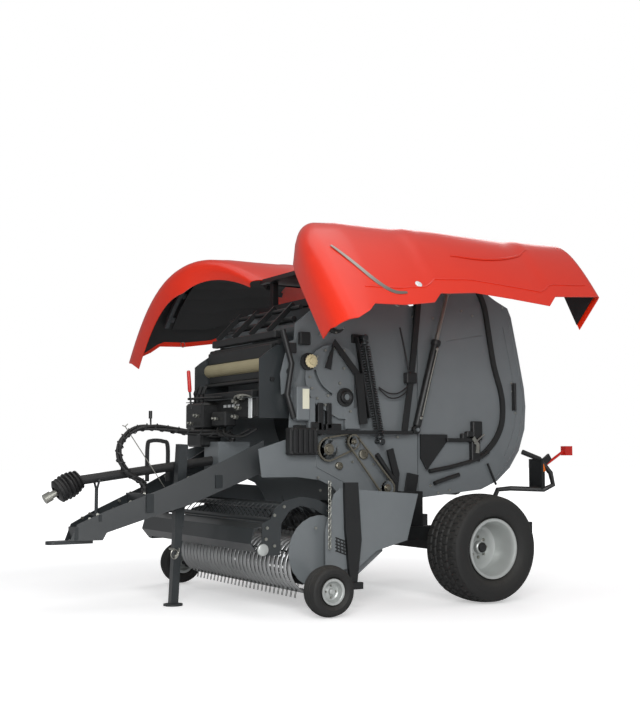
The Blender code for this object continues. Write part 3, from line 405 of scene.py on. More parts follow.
tree, given = new_tree("round_an_axis", (("Count", "NodeSocketInt"), ("Centre", "NodeSocketVector"),
                                         ("Paint", "NodeSocketMaterial")))
line = add_node(tree, "GeometryNodeMeshLine", {"Count": given["Count"]}, {"Offset": (0, 0, 0)})
index = add_node(tree, "GeometryNodeInputIndex")
share = add_node(tree, "ShaderNodeMath", {0: index.outputs[0], 1: given["Count"]}, operation="DIVIDE")
angle = add_node(tree, "ShaderNodeMath", {0: share.outputs[0]}, {1: 2 * math.pi}, operation="MULTIPLY")
spin = add_node(tree, "ShaderNodeCombineXYZ", {0: angle.outputs[0]})
stops = add_node(tree, "GeometryNodeInstanceOnPoints",
                 {"Points": line.outputs[0], "Instance": given["Geometry"], "Rotation": spin.outputs[0]})
real = add_node(tree, "GeometryNodeRealizeInstances", {"Geometry": stops.outputs[0]})
moved = add_node(tree, "GeometryNodeTransform", {"Geometry": real.outputs[0], "Translation": given["Centre"]})
ROUND_AN_AXIS = close_tree(tree, moved.outputs[0], given["Paint"])

tree, given = new_tree("along_a_path", (("Link", "NodeSocketObject"), ("Pitch", "NodeSocketFloat"),
                                        ("Twist", "NodeSocketFloat"), ("Paint", "NodeSocketMaterial")))
curve = add_node(tree, "GeometryNodeMeshToCurve", {"Mesh": given["Geometry"]})
even = add_node(tree, "GeometryNodeResampleCurve", {"Curve": curve.outputs[0], "Length": given["Pitch"]},
                mode="LENGTH")
link = add_node(tree, "GeometryNodeObjectInfo", {"Object": given["Link"]})
tangent = add_node(tree, "GeometryNodeInputTangent")
index = add_node(tree, "GeometryNodeInputIndex")
roll = add_node(tree, "ShaderNodeMath", {0: index.outputs[0], 1: given["Twist"]}, operation="MULTIPLY")
rolled = add_node(tree, "ShaderNodeCombineXYZ", {0: roll.outputs[0]})
face = add_node(tree, "FunctionNodeAlignRotationToVector", {"Vector": tangent.outputs[0]}, axis="X")
both = add_node(tree, "FunctionNodeRotateRotation", {"Rotation": face.outputs[0], "Rotate By": rolled.outputs[0]},
                rotation_space="LOCAL")
stops = add_node(tree, "GeometryNodeInstanceOnPoints",
                 {"Points": even.outputs[0], "Instance": link.outputs["Geometry"], "Rotation": both.outputs[0]})
ALONG_A_PATH = close_tree(tree, stops.outputs[0], given["Paint"])

tree, given = new_tree("screw_heads", (("Radius", "NodeSocketFloat"), ("Height", "NodeSocketFloat"),
                                       ("Sides", "NodeSocketInt"), ("Paint", "NodeSocketMaterial")))
head = add_node(tree, "GeometryNodeMeshCylinder",
                {"Vertices": given["Sides"], "Radius": given["Radius"], "Depth": given["Height"]})
facing = add_node(tree, "GeometryNodeInputNamedAttribute", values={"Name": "facing"}, data_type="FLOAT_VECTOR")
face = add_node(tree, "FunctionNodeAlignRotationToVector", {"Vector": facing.outputs[0]}, axis="Z")
stops = add_node(tree, "GeometryNodeInstanceOnPoints",
                 {"Points": given["Geometry"], "Instance": head.outputs[0], "Rotation": face.outputs[0]})
SCREW_HEADS = close_tree(tree, stops.outputs[0], given["Paint"])


def grown(name, mesh, tree, inputs, paint, body, replaces=(), angle=35):
    """Runs a placing tree on a bmesh and keeps its result as a plain piece."""
    data = bpy.data.meshes.new(name)
    if isinstance(mesh, list):
        data.from_pydata([tuple(p) for p, _ in mesh], [], [])
        data.attributes.new("facing", "FLOAT_VECTOR", "POINT")
        for row, (_, way) in zip(data.attributes["facing"].data, mesh):
            row.vector = way
    else:
        mesh.to_mesh(data)
        mesh.free()
    carrier = bpy.data.objects.new(name + "_carrier", data)
    bpy.context.scene.collection.objects.link(carrier)
    step = carrier.modifiers.new("placing", "NODES")
    step.node_group = tree
    inputs = dict(inputs, Paint=paint)
    for item in tree.interface.items_tree:
        if item.in_out == "INPUT" and item.name in inputs:
            step[item.identifier] = inputs[item.name]
    bpy.context.view_layer.update()
    graph = bpy.context.evaluated_depsgraph_get()
    result = bpy.data.meshes.new_from_object(carrier.evaluated_get(graph))
    bpy.data.objects.remove(carrier)
    result.attributes.remove(result.attributes["facing"]) if "facing" in result.attributes else None
    return hand_over(name, result, paint, body, angle, replaces)


SIDES = (("left", 1), ("right", -1))
PAINT = FINISHES["charcoal_paint"]
BLACK = FINISHES["black_paint"]
RUBBER = FINISHES["tyre_rubber"]
ENAMEL = FINISHES["silver_rim_paint"]
ZINC = FINISHES["bright_steel"]
PLASTIC = FINISHES["black_plastic"]
RED = FINISHES["red_hood_paint"]
SPRING_BLACK = finish("oiled_black_spring_steel", "#3A3D3F", "#4A4D4E", 0.30, 5, 0.04, metallic=0.7)
CHAIN_STEEL = finish("oiled_roller_chain", "#8E8A7E", "#6A665A", 0.36, 8, 0.05, metallic=0.8)
BAND_STEEL = finish("worn_band_steel", "#B7B8B8", "#8F9192", 0.30, 7, 0.04, metallic=0.75)
HOSE_RUBBER = finish("hydraulic_hose_cover", "#121213", "#1B1B1C", 0.5, 2, 0.06)
LABEL = finish("blank_pale_label", "#D8D6C2", "#CBC9B4", 0.5, 12, 0.02)
WHITE_REFLECTOR = finish("white_reflector_acrylic", "#DDE0E0", "#C9CDCD", 0.2, 4, 0.05, coat=0.4)
AMBER = finish("amber_lamp_acrylic", "#E0650F", "#F07A1A", 0.18, 5, 0.03, coat=0.5)
RED_GRIP = finish("red_dipped_grip", "#B21A14", "#C2261E", 0.4, 4, 0.05)
BEIGE = finish("cream_enamel", "#CFC39F", "#BBAE88", 0.4, 6, 0.04)
print("placing trees ready")

# %% [markdown]
# ## Main tyres
# Wide flotation tyres: broad ribs cut into blocks, round shoulders and plain side walls with
# fine mould rings.  The tread is a rule on angle and width, so one function raises or sinks each
# point of a turned grid.


# %% Main tyres and rims
def tread_drop(turn_share, across, half_width):
    """How far a tread point lies under the crown: grooves round the tyre and cuts across it."""
    depth = 0.0
    wave = 0.006 * math.sin(turn_share * 2 * math.pi * 40)
    for groove in (-0.62, -0.22, 0.22, 0.62):
        if abs(across / half_width - groove) * half_width < 0.0065 + abs(wave) * 0.4:
            depth = 0.011
    rib = int((across / half_width + 1) / 2 * 5)
    phase = (turn_share * 40 + 0.5 * (rib % 2) + across * 3.0) % 1
    if phase < 0.20:
        depth = max(depth, 0.009)
    return depth


def tyre_grid(mesh, centre, side, section, steps, drop):
    """Turns a (radius, height) section about X and sinks its tread points by `drop`."""
    rings = []
    for i in range(steps):
        angle = 2 * math.pi * i / steps
        ring = []
        for radius, height, on_tread in section:
            r = radius - (drop(i / steps, height) if on_tread else 0)
            ring.append(mesh.verts.new(Vector(centre)
                                       + Vector((side * height, r * math.cos(angle), r * math.sin(angle)))))
        rings.append(ring)
    count = len(section)
    for i in range(steps):
        one, two = rings[i], rings[(i + 1) % steps]
        for k in range(count):
            n = (k + 1) % count
            mesh.faces.new((one[k], one[n], two[n], two[k]))
    bmesh.ops.recalc_face_normals(mesh, faces=mesh.faces)


def tyre_section(radius, half, bead, crown_half, drop_edge, rings):
    """Closed tyre section: crown, shoulder, bulging side wall with mould rings, bead, inner wall."""
    section = []
    count = 34
    for i in range(count + 1):
        h = crown_half - 2 * crown_half * i / count
        section.append((radius - drop_edge * (h / crown_half) ** 2, h, True))
    wall = []
    bottom, top = bead + 0.004, radius - drop_edge
    for i in range(1, 15):
        t = i / 15
        r = top + (bottom - top) * t
        bulge = math.sin(math.pi * min(max(t * 0.92 + 0.16, 0), 1)) ** 0.55
        h = crown_half * 0.86 + (half - crown_half * 0.86) * bulge
        h += 0.0022 if i in rings else 0.0
        wall.append((r, min(h, half), False))
    wall.append((bead, half * 0.77, False))
    section += [(r, -h, s) for r, h, s in wall]
    section += [(r, h, s) for r, h, s in reversed(wall)]
    return section


def enamel_rim(mesh, centre, side, profile, steps=72):
    turn(mesh, profile, centre, (side, 0, 0), steps)


MAIN_RIM = [(0, 0.018), (0.030, 0.018), (0.042, 0.014), (0.050, 0.006), (0.052, -0.030), (0.064, -0.036),
            (0.100, -0.040), (0.135, -0.052), (0.160, -0.050), (0.178, -0.040), (0.188, -0.010),
            (0.196, 0.060), (0.200, 0.120), (0.206, 0.150), (0.214, 0.160), (0.226, 0.164), (0.234, 0.162),
            (0.236, 0.154), (0.2217, 0.1505), (0.2217, -0.1505), (0.236, -0.1505), (0.236, -0.160),
            (0.205, -0.164), (0.190, -0.075), (0.150, -0.066), (0.070, -0.050), (0.070, -0.100), (0, -0.100)]
GAUGE_RIM = [(0, 0.056), (0.016, 0.056), (0.022, 0.050), (0.024, 0.030), (0.036, 0.026), (0.052, 0.020),
             (0.062, 0.026), (0.070, 0.045), (0.075, 0.064), (0.082, 0.068), (0.093, 0.068), (0.094, 0.061),
             (0.0857, 0.060), (0.0857, -0.060), (0.094, -0.060), (0.094, -0.067), (0.072, -0.067),
             (0.060, -0.010), (0.024, 0.0), (0.024, -0.058), (0, -0.058)]
for word, side in SIDES:
    hub = Vector((side * WHEEL.x, WHEEL.y, WHEEL.z))
    mesh = bmesh.new()
    section = tyre_section(TYRE_RADIUS - 0.0005, 0.1945, 0.222, 0.158, 0.016, (3, 5, 10, 12))
    tyre_grid(mesh, hub, side, section, 320, lambda t, a: tread_drop(t, a, 0.158))
    finished(word + "_tyre_tread", mesh, RUBBER, word + "_wheel", 30, (word + "_tyre",))
    mesh = bmesh.new()
    enamel_rim(mesh, hub, side, MAIN_RIM)
    finished(word + "_rim_enamel", mesh, ENAMEL, word + "_wheel", 32, (word + "_rim",))
    mesh = bmesh.new()
    turn(mesh, [(0, 0.014), (0.006, 0.014), (0.009, 0.011), (0.011, 0.008), (0.013, 0.0), (0.013, -0.004),
                (0, -0.004)], (side * -0.036, 0.080, 0), (side, 0, 0), 6)
    grown(word + "_wheel_nuts", mesh, ROUND_AN_AXIS, {"Count": 8, "Centre": hub}, ZINC, word + "_wheel")
    mesh = bmesh.new()
    turn(mesh, [(0, 0.034), (0.024, 0.034), (0.034, 0.030), (0.040, 0.020), (0.040, 0.010), (0, 0.010)],
         hub, (side, 0, 0), 40)
    finished(word + "_hub_cap", mesh, BLACK, word + "_wheel")

    gauge = Vector((side * (gauge_low[0] + gauge_high[0]) / 2, Y_SHIFT, (gauge_low[2] + gauge_high[2]) / 2))
    mesh = bmesh.new()
    section = tyre_section(0.1847, 0.077, 0.086, 0.052, 0.010, (4, 8))
    ribs = lambda t, a: 0.004 if min(abs(abs(a) - 0.030), abs(abs(a) - 0.008)) < 0.0032 else 0.0
    tyre_grid(mesh, gauge, side, section, 96, ribs)
    finished(word + "_gauge_tyre_tread", mesh, RUBBER, word + "_gauge_wheel", 30,
             (word + "_gauge_tyre",))
    mesh = bmesh.new()
    enamel_rim(mesh, gauge, side, GAUGE_RIM, 56)
    finished(word + "_gauge_rim_enamel", mesh, ENAMEL, word + "_gauge_wheel", 32,
             (word + "_gauge_rim",))
    mesh = bmesh.new()
    turn(mesh, [(0, 0.008), (0.005, 0.008), (0.007, 0.005), (0.007, -0.003), (0, -0.003)],
         (side * 0.027, 0.042, 0), (side, 0, 0), 6)
    grown(word + "_gauge_nuts", mesh, ROUND_AN_AXIS, {"Count": 4, "Centre": gauge}, ZINC,
          word + "_gauge_wheel")
print("wheels dressed")

# %% [markdown]
# ## Hoods
# Each hood is one large moulding: a round section from the roof hinge over the shoulder and down
# the side, carried along the machine, with a nose that rolls in at the front and a deep rear
# flap.  The section is one weighted curve, and a short table gives its lower edge.

# %% Hood shape
HINGE = (0.42, 2.66)
SHOULDER = (1.27, 2.72)
SIDE_FACE = 1.287
SHOULDER_PULL = 1.5
SWUNG_UP = math.radians(37)
NOSE_ROUND = 0.15
HOOD_ENDS = (-0.30, 2.34)
HOOD_EDGE = ((0.02, 1.43), (0.28, 1.44), (0.56, 1.49), (0.66, 1.59), (0.76, 1.60), (1.00, 1.63),
             (1.34, 1.60), (1.70, 1.56), (1.82, 1.67), (2.34, 1.72))      # distance back, height


def hood_edge(y):
    """Height of the lower edge of the shut hood."""
    for (y0, z0), (y1, z1) in zip(HOOD_EDGE, HOOD_EDGE[1:]):
        if y <= y1:
            return z0 + (z1 - z0) * max(y - y0, 0) / (y1 - y0)
    return HOOD_EDGE[-1][1]


def hood_point(side, t, y, inset=0.0, edge=None):
    """A point of the raised hood: t runs from the hinge (0) to the lower edge (1)."""
    start, middle = Vector(HINGE), Vector(SHOULDER)
    end = Vector((SIDE_FACE, hood_edge(y) if edge is None else edge))
    weights = ((1 - t) ** 2, 2 * t * (1 - t) * SHOULDER_PULL, t * t)
    point = (start * weights[0] + middle * weights[1] + end * weights[2]) / sum(weights)
    along = (middle - start).lerp(end - middle, t).normalized()
    point += Vector((along.y, -along.x)) * inset
    point = Matrix.Rotation(SWUNG_UP, 2) @ (point - start) + start
    share = (y - HOOD_ENDS[0]) / (HOOD_ENDS[1] - HOOD_ENDS[0])
    front = HOOD_ENDS[0] + 0.60 * (1 - t) ** 2
    rear = HOOD_ENDS[1] + 0.20 * (1 - t)
    return place(side * point.x, front + (rear - front) * share, point.y)


def lip_share(t, y):
    return 0.25 + 0.75 * min(t / 0.5, 1) if y < 1.45 else 0.15 + 0.85 * t


def hood_rows():
    """(distance back, edge height, inset) of each row, from inside the nose to the rear flap."""
    rows = [(HOOD_ENDS[0] + 0.02, 1.36, NOSE_ROUND + 0.16), (HOOD_ENDS[0], 1.33, NOSE_ROUND + 0.03)]
    for i in range(1, 9):
        a = i / 9 * math.pi / 2
        rows.append((HOOD_ENDS[0] + NOSE_ROUND * (1 - math.cos(a)), 1.30 - 0.02 * math.sin(a),
                     NOSE_ROUND * (1 - math.sin(a))))
    for (y0, _), (y1, _) in zip(((-0.13, 0),) + HOOD_EDGE, HOOD_EDGE):
        parts = max(1, round((y1 - y0) / 0.06))
        rows += [(y0 + (y1 - y0) * i / parts, None, 0.0) for i in range(1, parts + 1)]
    rows = rows[:-1] + [(HOOD_ENDS[1] - 0.04, 1.72, 0.0), (HOOD_ENDS[1] - 0.01, 1.72, 0.012),
                        (HOOD_ENDS[1], 1.72, 0.045), (HOOD_ENDS[1] - 0.02, 1.66, 0.33)]
    return rows


def hood_start(y):
    return 0.02 + 0.235 * min(max((y - 0.66) / 0.10, 0), 1)


def hood_sheet(mesh, side, rows, columns, low=0.0, high=1.0, deeper=0.0):
    """Faces over part of the hood's surface, sunk by `deeper`."""
    grid = []
    for y, edge, inset in rows:
        first = max(hood_start(y), low)
        line = []
        for i in range(columns + 1):
            t = first + (high - first) * i / columns
            height = edge if edge is not None else hood_edge(y)
            if y < 0.02 and edge is None:
                height = 1.28 + (1.43 - 1.28) * max(0, (y + 0.13) / 0.15)
            line.append(mesh.verts.new(hood_point(side, t, y, deeper + inset * lip_share(t, y), height)))
        grid.append(line)
    for one, two in zip(grid, grid[1:]):
        for i in range(columns):
            corners = (one[i], one[i + 1], two[i + 1], two[i])
            mesh.faces.new(corners if side > 0 else corners[::-1])


def with_wall(name, mesh, thickness, paint, body, replaces=(), angle=35):
    """Gives an open sheet its wall and keeps the result as a plain piece."""
    data = bpy.data.meshes.new(name)
    mesh.to_mesh(data)
    mesh.free()
    carrier = bpy.data.objects.new(name + "_carrier", data)
    bpy.context.scene.collection.objects.link(carrier)
    wall = carrier.modifiers.new("wall", "SOLIDIFY")
    wall.thickness = thickness
    wall.offset = -1
    bpy.context.view_layer.update()
    result = bpy.data.meshes.new_from_object(carrier.evaluated_get(bpy.context.evaluated_depsgraph_get()))
    bpy.data.objects.remove(carrier)
    return hand_over(name, result, paint, body, angle, replaces)


# %% Hood skins, painted shade sheets and trim
# Painted shade: a flat black sheet laid just inside the red skin darkens the inner face of each raised hood.
HOOD_SHADE_SHEET = finish("painted_shade_hood_inside", "#111213", "#1A1C1D", 0.5, 6, 0.05)
LATTICE = finish("moulded_grey_lattice", "#33373A", "#3F4346", 0.45, 6, 0.05)
for word, side in SIDES:
    body = word + "_hood"
    mesh = bmesh.new()
    hood_sheet(mesh, side, hood_rows(), 36)
    with_wall(word + "_hood_skin", mesh, 0.008, RED, body, (word + "_hood",), 40)

    mesh = bmesh.new()
    for t in (0.30, 0.42, 0.54, 0.66, 0.78, 0.90):
        run = [hood_point(side, t, -0.02 + 0.06 * i, 0.040) for i in range(19)]
        sweep(mesh, run, strip_section(0.045, 0.022), up=run[8] - place(0, 0.5, 2.0))
    for y in (0.0, 0.16, 0.32, 0.48, 0.64, 0.80, 0.96):
        run = [hood_point(side, 0.28 + 0.05 * i, y, 0.042) for i in range(14)]
        sweep(mesh, run, strip_section(0.040, 0.030), up=(0.2 * side, 0.0, 1))
    finished(word + "_hood_lattice", mesh, LATTICE, body)

    # Painted shade: the black sheet over the inside of the hood, from the shoulder down to the lower edge.
    rows = [(-0.13 + 0.06 * i, None, 0.0) for i in range(20)]
    mesh = bmesh.new()
    hood_sheet(mesh, side, rows, 30, 0.30, 0.985, 0.0095)
    with_wall(word + "_hood_inner_sheet", mesh, 0.003, HOOD_SHADE_SHEET, body)
    # Painted shade: the black sheet inside the rear flap.
    mesh = bmesh.new()
    rear = [(HOOD_ENDS[1] - 0.016, 1.72, 0.016), (HOOD_ENDS[1] - 0.018, 1.72, 0.050), (HOOD_ENDS[1] - 0.038, 1.66, 0.325)]
    hood_sheet(mesh, side, rear, 24, 0.30, 0.985)
    with_wall(word + "_hood_rear_lining", mesh, 0.003, HOOD_SHADE_SHEET, body)

    mesh = bmesh.new()
    trim = []
    for i in range(19):
        y = -0.125 + 0.026 * i
        t = 0.79 + 0.18 * math.sin(math.pi / 2 * min(i / 15, 1))
        trim.append(hood_point(side, t, y, -0.004 + 0.10 * max(0.02 - y, 0) ** 1.4))
    sweep(mesh, trim, strip_section(0.030, 0.010), up=(side, 0, 0.4),
          scales=[0.35 + 0.65 * math.sin(math.pi * (i + 0.6) / 19.2) ** 0.6 for i in range(19)])
    finished(word + "_hood_trim_strip", mesh, ZINC, body)

    mesh = bmesh.new()
    spot = hood_point(side, 0.945, 0.49, 0.0)
    out = (hood_point(side, 0.945, 0.49, -0.01) - spot).normalized()
    turn(mesh, [(0, 0.006), (0.020, 0.006), (0.027, 0.004), (0.029, 0.0), (0.029, -0.004), (0, -0.004)],
         spot, out, 32)
    finished(word + "_hood_reflector", mesh, WHITE_REFLECTOR, body)

    mesh = bmesh.new()
    ridge = [hood_point(side, 0.84 - 0.13 * i / 20 + 0.04 * math.sin(math.pi * i / 20), 0.95 + 0.045 * i, -0.002) for i in range(21)]
    sweep(mesh, ridge, [(-0.018, -0.006), (0.018, -0.006), (0.006, 0.006), (-0.006, 0.006)], up=(side * 0.3, 0, 1),
          scales=[0.25 + 0.75 * math.sin(math.pi * (i + 0.5) / 21) for i in range(21)])
    crease = [hood_point(side, 0.955, 0.0 + 0.06 * i, -0.001) for i in range(38)]
    sweep(mesh, crease, [(-0.006, -0.004), (0.006, -0.004), (0.0, 0.004)], up=(side, 0, 0))
    finished(word + "_hood_ridges", mesh, RED, body)

    mesh = bmesh.new()
    latch = hood_point(side, 0.985, 0.24, 0.012)
    loop = [latch + Vector((0, 0.022 * math.cos(a), -0.022 + 0.026 * math.sin(a)))
            for a in (2 * math.pi * i / 16 for i in range(16))]
    sweep(mesh, loop, ring_section(0.0035, 6), up=(1, 0, 0), closed=True)
    finished(word + "_hood_latch_loop", mesh, ZINC, body)
print("hoods dressed")

# %% [markdown]
# ## Pick-up
# Silver bands bend round the tine reel, and the tines run in the gaps between them.  One band
# and one pair of tines are modelled, and the row tree repeats them across the machine.

# %% Bands and tines
BAND_COUNT, BAND_STEP = 30, 0.0645
FIRST_BAND = -BAND_STEP * (BAND_COUNT - 1) / 2
DRUM = (0.06, 0.33)


def band_path():
    path = [(0.42, 0.5225), (0.30, 0.5225), (0.20, 0.523)]
    path += arc_points(DRUM, 0.1995, 82, 284, 26)
    return path


mesh = bmesh.new()
dome = [(0.0200 * math.cos(math.pi * i / 8), 0.015 * math.sin(math.pi * i / 8) - 0.009) for i in range(9)]
dome += [(-0.0165, -0.009), (-0.012, -0.001), (0.0, 0.0025), (0.012, -0.001), (0.0165, -0.009)]
path = [place(FIRST_BAND, y, z) for y, z in band_path()]
rings = []
middle = place(FIRST_BAND, DRUM[0], DRUM[1])
for i, point in enumerate(path):
    after = path[min(i + 1, len(path) - 1)]
    before = path[max(i - 1, 0)]
    along = (after - before).normalized()
    lift = Vector((1, 0, 0)).cross(along)
    if lift.dot(point - middle) < 0:
        lift = -lift
    rings.append([mesh.verts.new(point + Vector((a, 0, 0)) + lift * b) for a, b in dome])
for one, two in zip(rings, rings[1:]):
    for k in range(len(dome)):
        n = (k + 1) % len(dome)
        mesh.faces.new((one[k], one[n], two[n], two[k]))
mesh.faces.new(rings[0][::-1])
mesh.faces.new(rings[-1])
bmesh.ops.recalc_face_normals(mesh, faces=mesh.faces)
grown("stripper_band_row", mesh, ALONG_A_ROW, {"Count": BAND_COUNT, "Step": (BAND_STEP, 0, 0)}, BAND_STEEL,
      "pickup", ("stripper_bands",), 60)

for row, angle in enumerate((45, 135, 225, 315)):
    mesh = bmesh.new()
    (y, z), = arc_points(DRUM, 0.13, angle, angle + 1, 2)[:1]
    for offset in (-0.006, 0.006):
        coil = []
        for i in range(13):
            a = math.radians(angle) + 2 * math.pi * i / 8
            coil.append(place(offset + FIRST_BAND + BAND_STEP / 2 + offset * 0.3 * i / 4, y + 0.018 * math.cos(a),
                              z + 0.018 * math.sin(a)))
        reach = arc_points(DRUM, 0.262, angle + 16, angle + 17, 2)[0]
        knee = arc_points(DRUM, 0.215, angle + 12, angle + 13, 2)[0]
        wire = coil + [place(FIRST_BAND + BAND_STEP / 2 + offset * 1.3, *knee),
                       place(FIRST_BAND + BAND_STEP / 2 + offset * 1.3, *reach)]
        sweep(mesh, wire, ring_section(0.0026, 5), up=(1, 0, 0.01))
    grown("tine_row_" + "abcd"[row], mesh, ALONG_A_ROW, {"Count": BAND_COUNT - 1, "Step": (BAND_STEP, 0, 0)},
          BLACK, "pickup_reel")
print("bands", BAND_COUNT, "tine rows 4")

# %% Wind guard wires, bolts and end caps
mesh = bmesh.new()
wire = smooth_path([place(-0.93, -0.20, 0.797), place(-0.93, -0.10, 0.80), place(-0.93, 0.02, 0.765),
                    place(-0.93, 0.11, 0.69), place(-0.93, 0.15, 0.60)], 4)
sweep(mesh, wire, ring_section(0.004, 6), up=(1, 0, 0))
wire = smooth_path([place(-0.93, -0.215, 0.790), place(-0.93, -0.262, 0.755), place(-0.93, -0.315, 0.700)], 3)
sweep(mesh, wire, ring_section(0.004, 6), up=(1, 0, 0))
grown("wind_guard_wires", mesh, ALONG_A_ROW, {"Count": 25, "Step": (0.0775, 0, 0)}, SPRING_BLACK, "wind_guard")
mesh = bmesh.new()
for side in (1, -1):
    turn(mesh, [(0, 0.016), (0.036, 0.016), (0.042, 0.012), (0.044, 0.004), (0.044, -0.004), (0, -0.004)],
         place(side * 1.008, -0.395, 0.475), (side, 0, 0), 32)
    sweep(mesh, [place(side * 1.0, -0.37, 0.64), place(side * 0.86, -0.37, 0.64)], ring_section(0.012, 10))
finished("wind_guard_end_discs", mesh, ENAMEL, "wind_guard")
heads = []
for side in (1, -1):
    for y, z in ((-0.36, 0.63), (-0.30, 0.72), (-0.22, 0.78), (-0.37, 0.55), (-0.30, 0.50), (0.16, 0.74)):
        heads.append((place(side * 1.012, y, z), (side, 0, 0)))
grown("wind_guard_screws", heads, SCREW_HEADS, {"Radius": 0.012, "Height": 0.010, "Sides": 6}, ZINC, "wind_guard")

# %% [markdown]
# ## Drive side
# On the left the covers are open on springs, sprockets and chains.  The long coil springs load
# the belt tension, and each of them is one wire wound many times.  The chains are one link,
# repeated along their path by a loop, with every second link made narrower.

# %% Springs, sprockets and chains
for word, side in SIDES:
    start, end = place(side * 0.71, 0.68, 2.09), place(side * 0.71, 0.84, 1.26)
    along = (end - start).normalized()
    cross = Vector((side, 0, 0))
    third = along.cross(cross)
    mesh = bmesh.new()
    turns, steps = 36, 12
    coil = []
    for i in range(turns * steps + 1):
        a = 2 * math.pi * i / steps
        share = 0.07 + 0.86 * i / (turns * steps)
        coil.append(start.lerp(end, share) + (cross * math.cos(a) + third * math.sin(a)) * 0.0375)
    sweep(mesh, coil, ring_section(0.0050, 6), up=along)
    for share in (0.05, 0.95):
        turn(mesh, [(0, -0.012), (0.030, -0.012), (0.035, -0.006), (0.035, 0.006), (0.030, 0.012), (0, 0.012)],
             start.lerp(end, share), along, 24)
    sweep(mesh, [start, end], ring_section(0.013, 12))
    for spot in (start, end):
        sweep(mesh, [spot - cross * 0.058, spot + cross * 0.030], ring_section(0.019, 16))
        turn(mesh, [(0, 0), (0.028, 0), (0.028, 0.007), (0.022, 0.012), (0, 0.012)], spot + cross * 0.022, cross, 24)
    finished(word + "_coil_spring", mesh, SPRING_BLACK, "chassis",
             replaces=(word + "_density_spring",))
    mesh = bmesh.new()
    rod = [place(side * 0.70, 0.62, 2.09), place(side * 0.70, 0.66, 1.85), place(side * 0.70, 0.735, 1.45)]
    sweep(mesh, rod, strip_section(0.040, 0.012), up=(0, 1, 0))
    brick(mesh, place(side * 0.66 - 0.012, 0.60, 2.05), place(side * 0.66 + 0.012, 0.70, 2.12))
    finished(word + "_spring_guide", mesh, BLACK, "chassis")


def toothed(mesh, y, z, radius, x, teeth, thickness=0.006):
    """A sprocket: a disc with cut teeth round a stepped hub."""
    ring = []
    for i in range(teeth * 4):
        reach = radius + (0.0035 if i % 4 in (0, 1) else -0.0035)
        a = 2 * math.pi * (i + (0.15 if i % 4 in (0, 3) else -0.15)) / (teeth * 4)
        ring.append((y + reach * math.cos(a), z + reach * math.sin(a)))
    low = [mesh.verts.new(place(x - thickness / 2, *p)) for p in ring]
    high = [mesh.verts.new(place(x + thickness / 2, *p)) for p in ring]
    mesh.faces.new(low[::-1])
    mesh.faces.new(high)
    for i in range(len(ring)):
        n = (i + 1) % len(ring)
        mesh.faces.new((low[i], low[n], high[n], high[i]))
    for reach, out in ((radius * 0.55, 0.012), (radius * 0.36, 0.026)):
        turn(mesh, [(0, 0), (reach, 0), (reach, out - 0.003), (reach - 0.003, out), (0, out)],
             place(x, y, z), (1, 0, 0), 32)


SPROCKETS = ((0.355, 1.20, 0.083, 0.700, 22), (0.570, 1.26, 0.058, 0.700, 16), (0.570, 1.26, 0.045, 0.730, 12),
             (0.890, 0.89, 0.060, 0.730, 16))               # back, height, radius, side, teeth
mesh = bmesh.new()
for y, z, radius, x, teeth in SPROCKETS:
    toothed(mesh, y, z, radius, x, teeth)
for y, z, radius in ((0.70, 1.16, 0.040), (0.47, 1.07, 0.030)):
    turn(mesh, [(0, 0), (radius, 0), (radius, 0.022), (radius * 0.8, 0.026), (radius * 0.55, 0.026),
                (radius * 0.5, 0.020), (0, 0.020)], place(0.66, y, z), (1, 0, 0), 32)
finished("sprockets", mesh, CHAIN_STEEL, "chassis")


def chain_link():
    """One pair of plates on one roller, 19 mm long, lying along X."""
    mesh = bmesh.new()
    for x in (-0.0075, 0.0075):
        outline = [(-0.0095 + 0.0062 * math.cos(a), 0.0062 * math.sin(a)) for a in
                   (math.radians(90 + 22.5 * i) for i in range(9))]
        outline += [(0.0095 + 0.0062 * math.cos(a), 0.0062 * math.sin(a)) for a in
                    (math.radians(-90 + 22.5 * i) for i in range(9))]
        low = [mesh.verts.new((u, x - 0.001, v)) for u, v in outline]
        high = [mesh.verts.new((u, x + 0.001, v)) for u, v in outline]
        mesh.faces.new(low)
        mesh.faces.new(high[::-1])
        for i in range(len(outline)):
            n = (i + 1) % len(outline)
            mesh.faces.new((low[i], high[i], high[n], low[n]))
    turn(mesh, [(0, -0.0065), (0.0048, -0.0065), (0.0048, 0.0065), (0, 0.0065)], Vector((0.0095, 0, 0)), (0, 1, 0), 10)
    bmesh.ops.recalc_face_normals(mesh, faces=mesh.faces)
    data = bpy.data.meshes.new("chain_link")
    mesh.to_mesh(data)
    mesh.free()
    return data


def belt_path(first, second):
    """The closed line of a chain round two sprockets."""
    (y0, z0, r0, x, _), (y1, z1, r1, _, _) = first, second
    way = math.atan2(z1 - z0, y1 - y0)
    lap = math.acos((r0 - r1) / math.hypot(y1 - y0, z1 - z0))
    one = [way + lap + (2 * math.pi - 2 * lap) * i / 16 for i in range(17)]
    two = [way - lap + 2 * lap * i / 16 for i in range(17)]
    line = [place(x, y0 + (r0 + 0.007) * math.cos(a), z0 + (r0 + 0.007) * math.sin(a)) for a in one]
    line += [place(x, y1 + (r1 + 0.007) * math.cos(a), z1 + (r1 + 0.007) * math.sin(a)) for a in two]
    return line


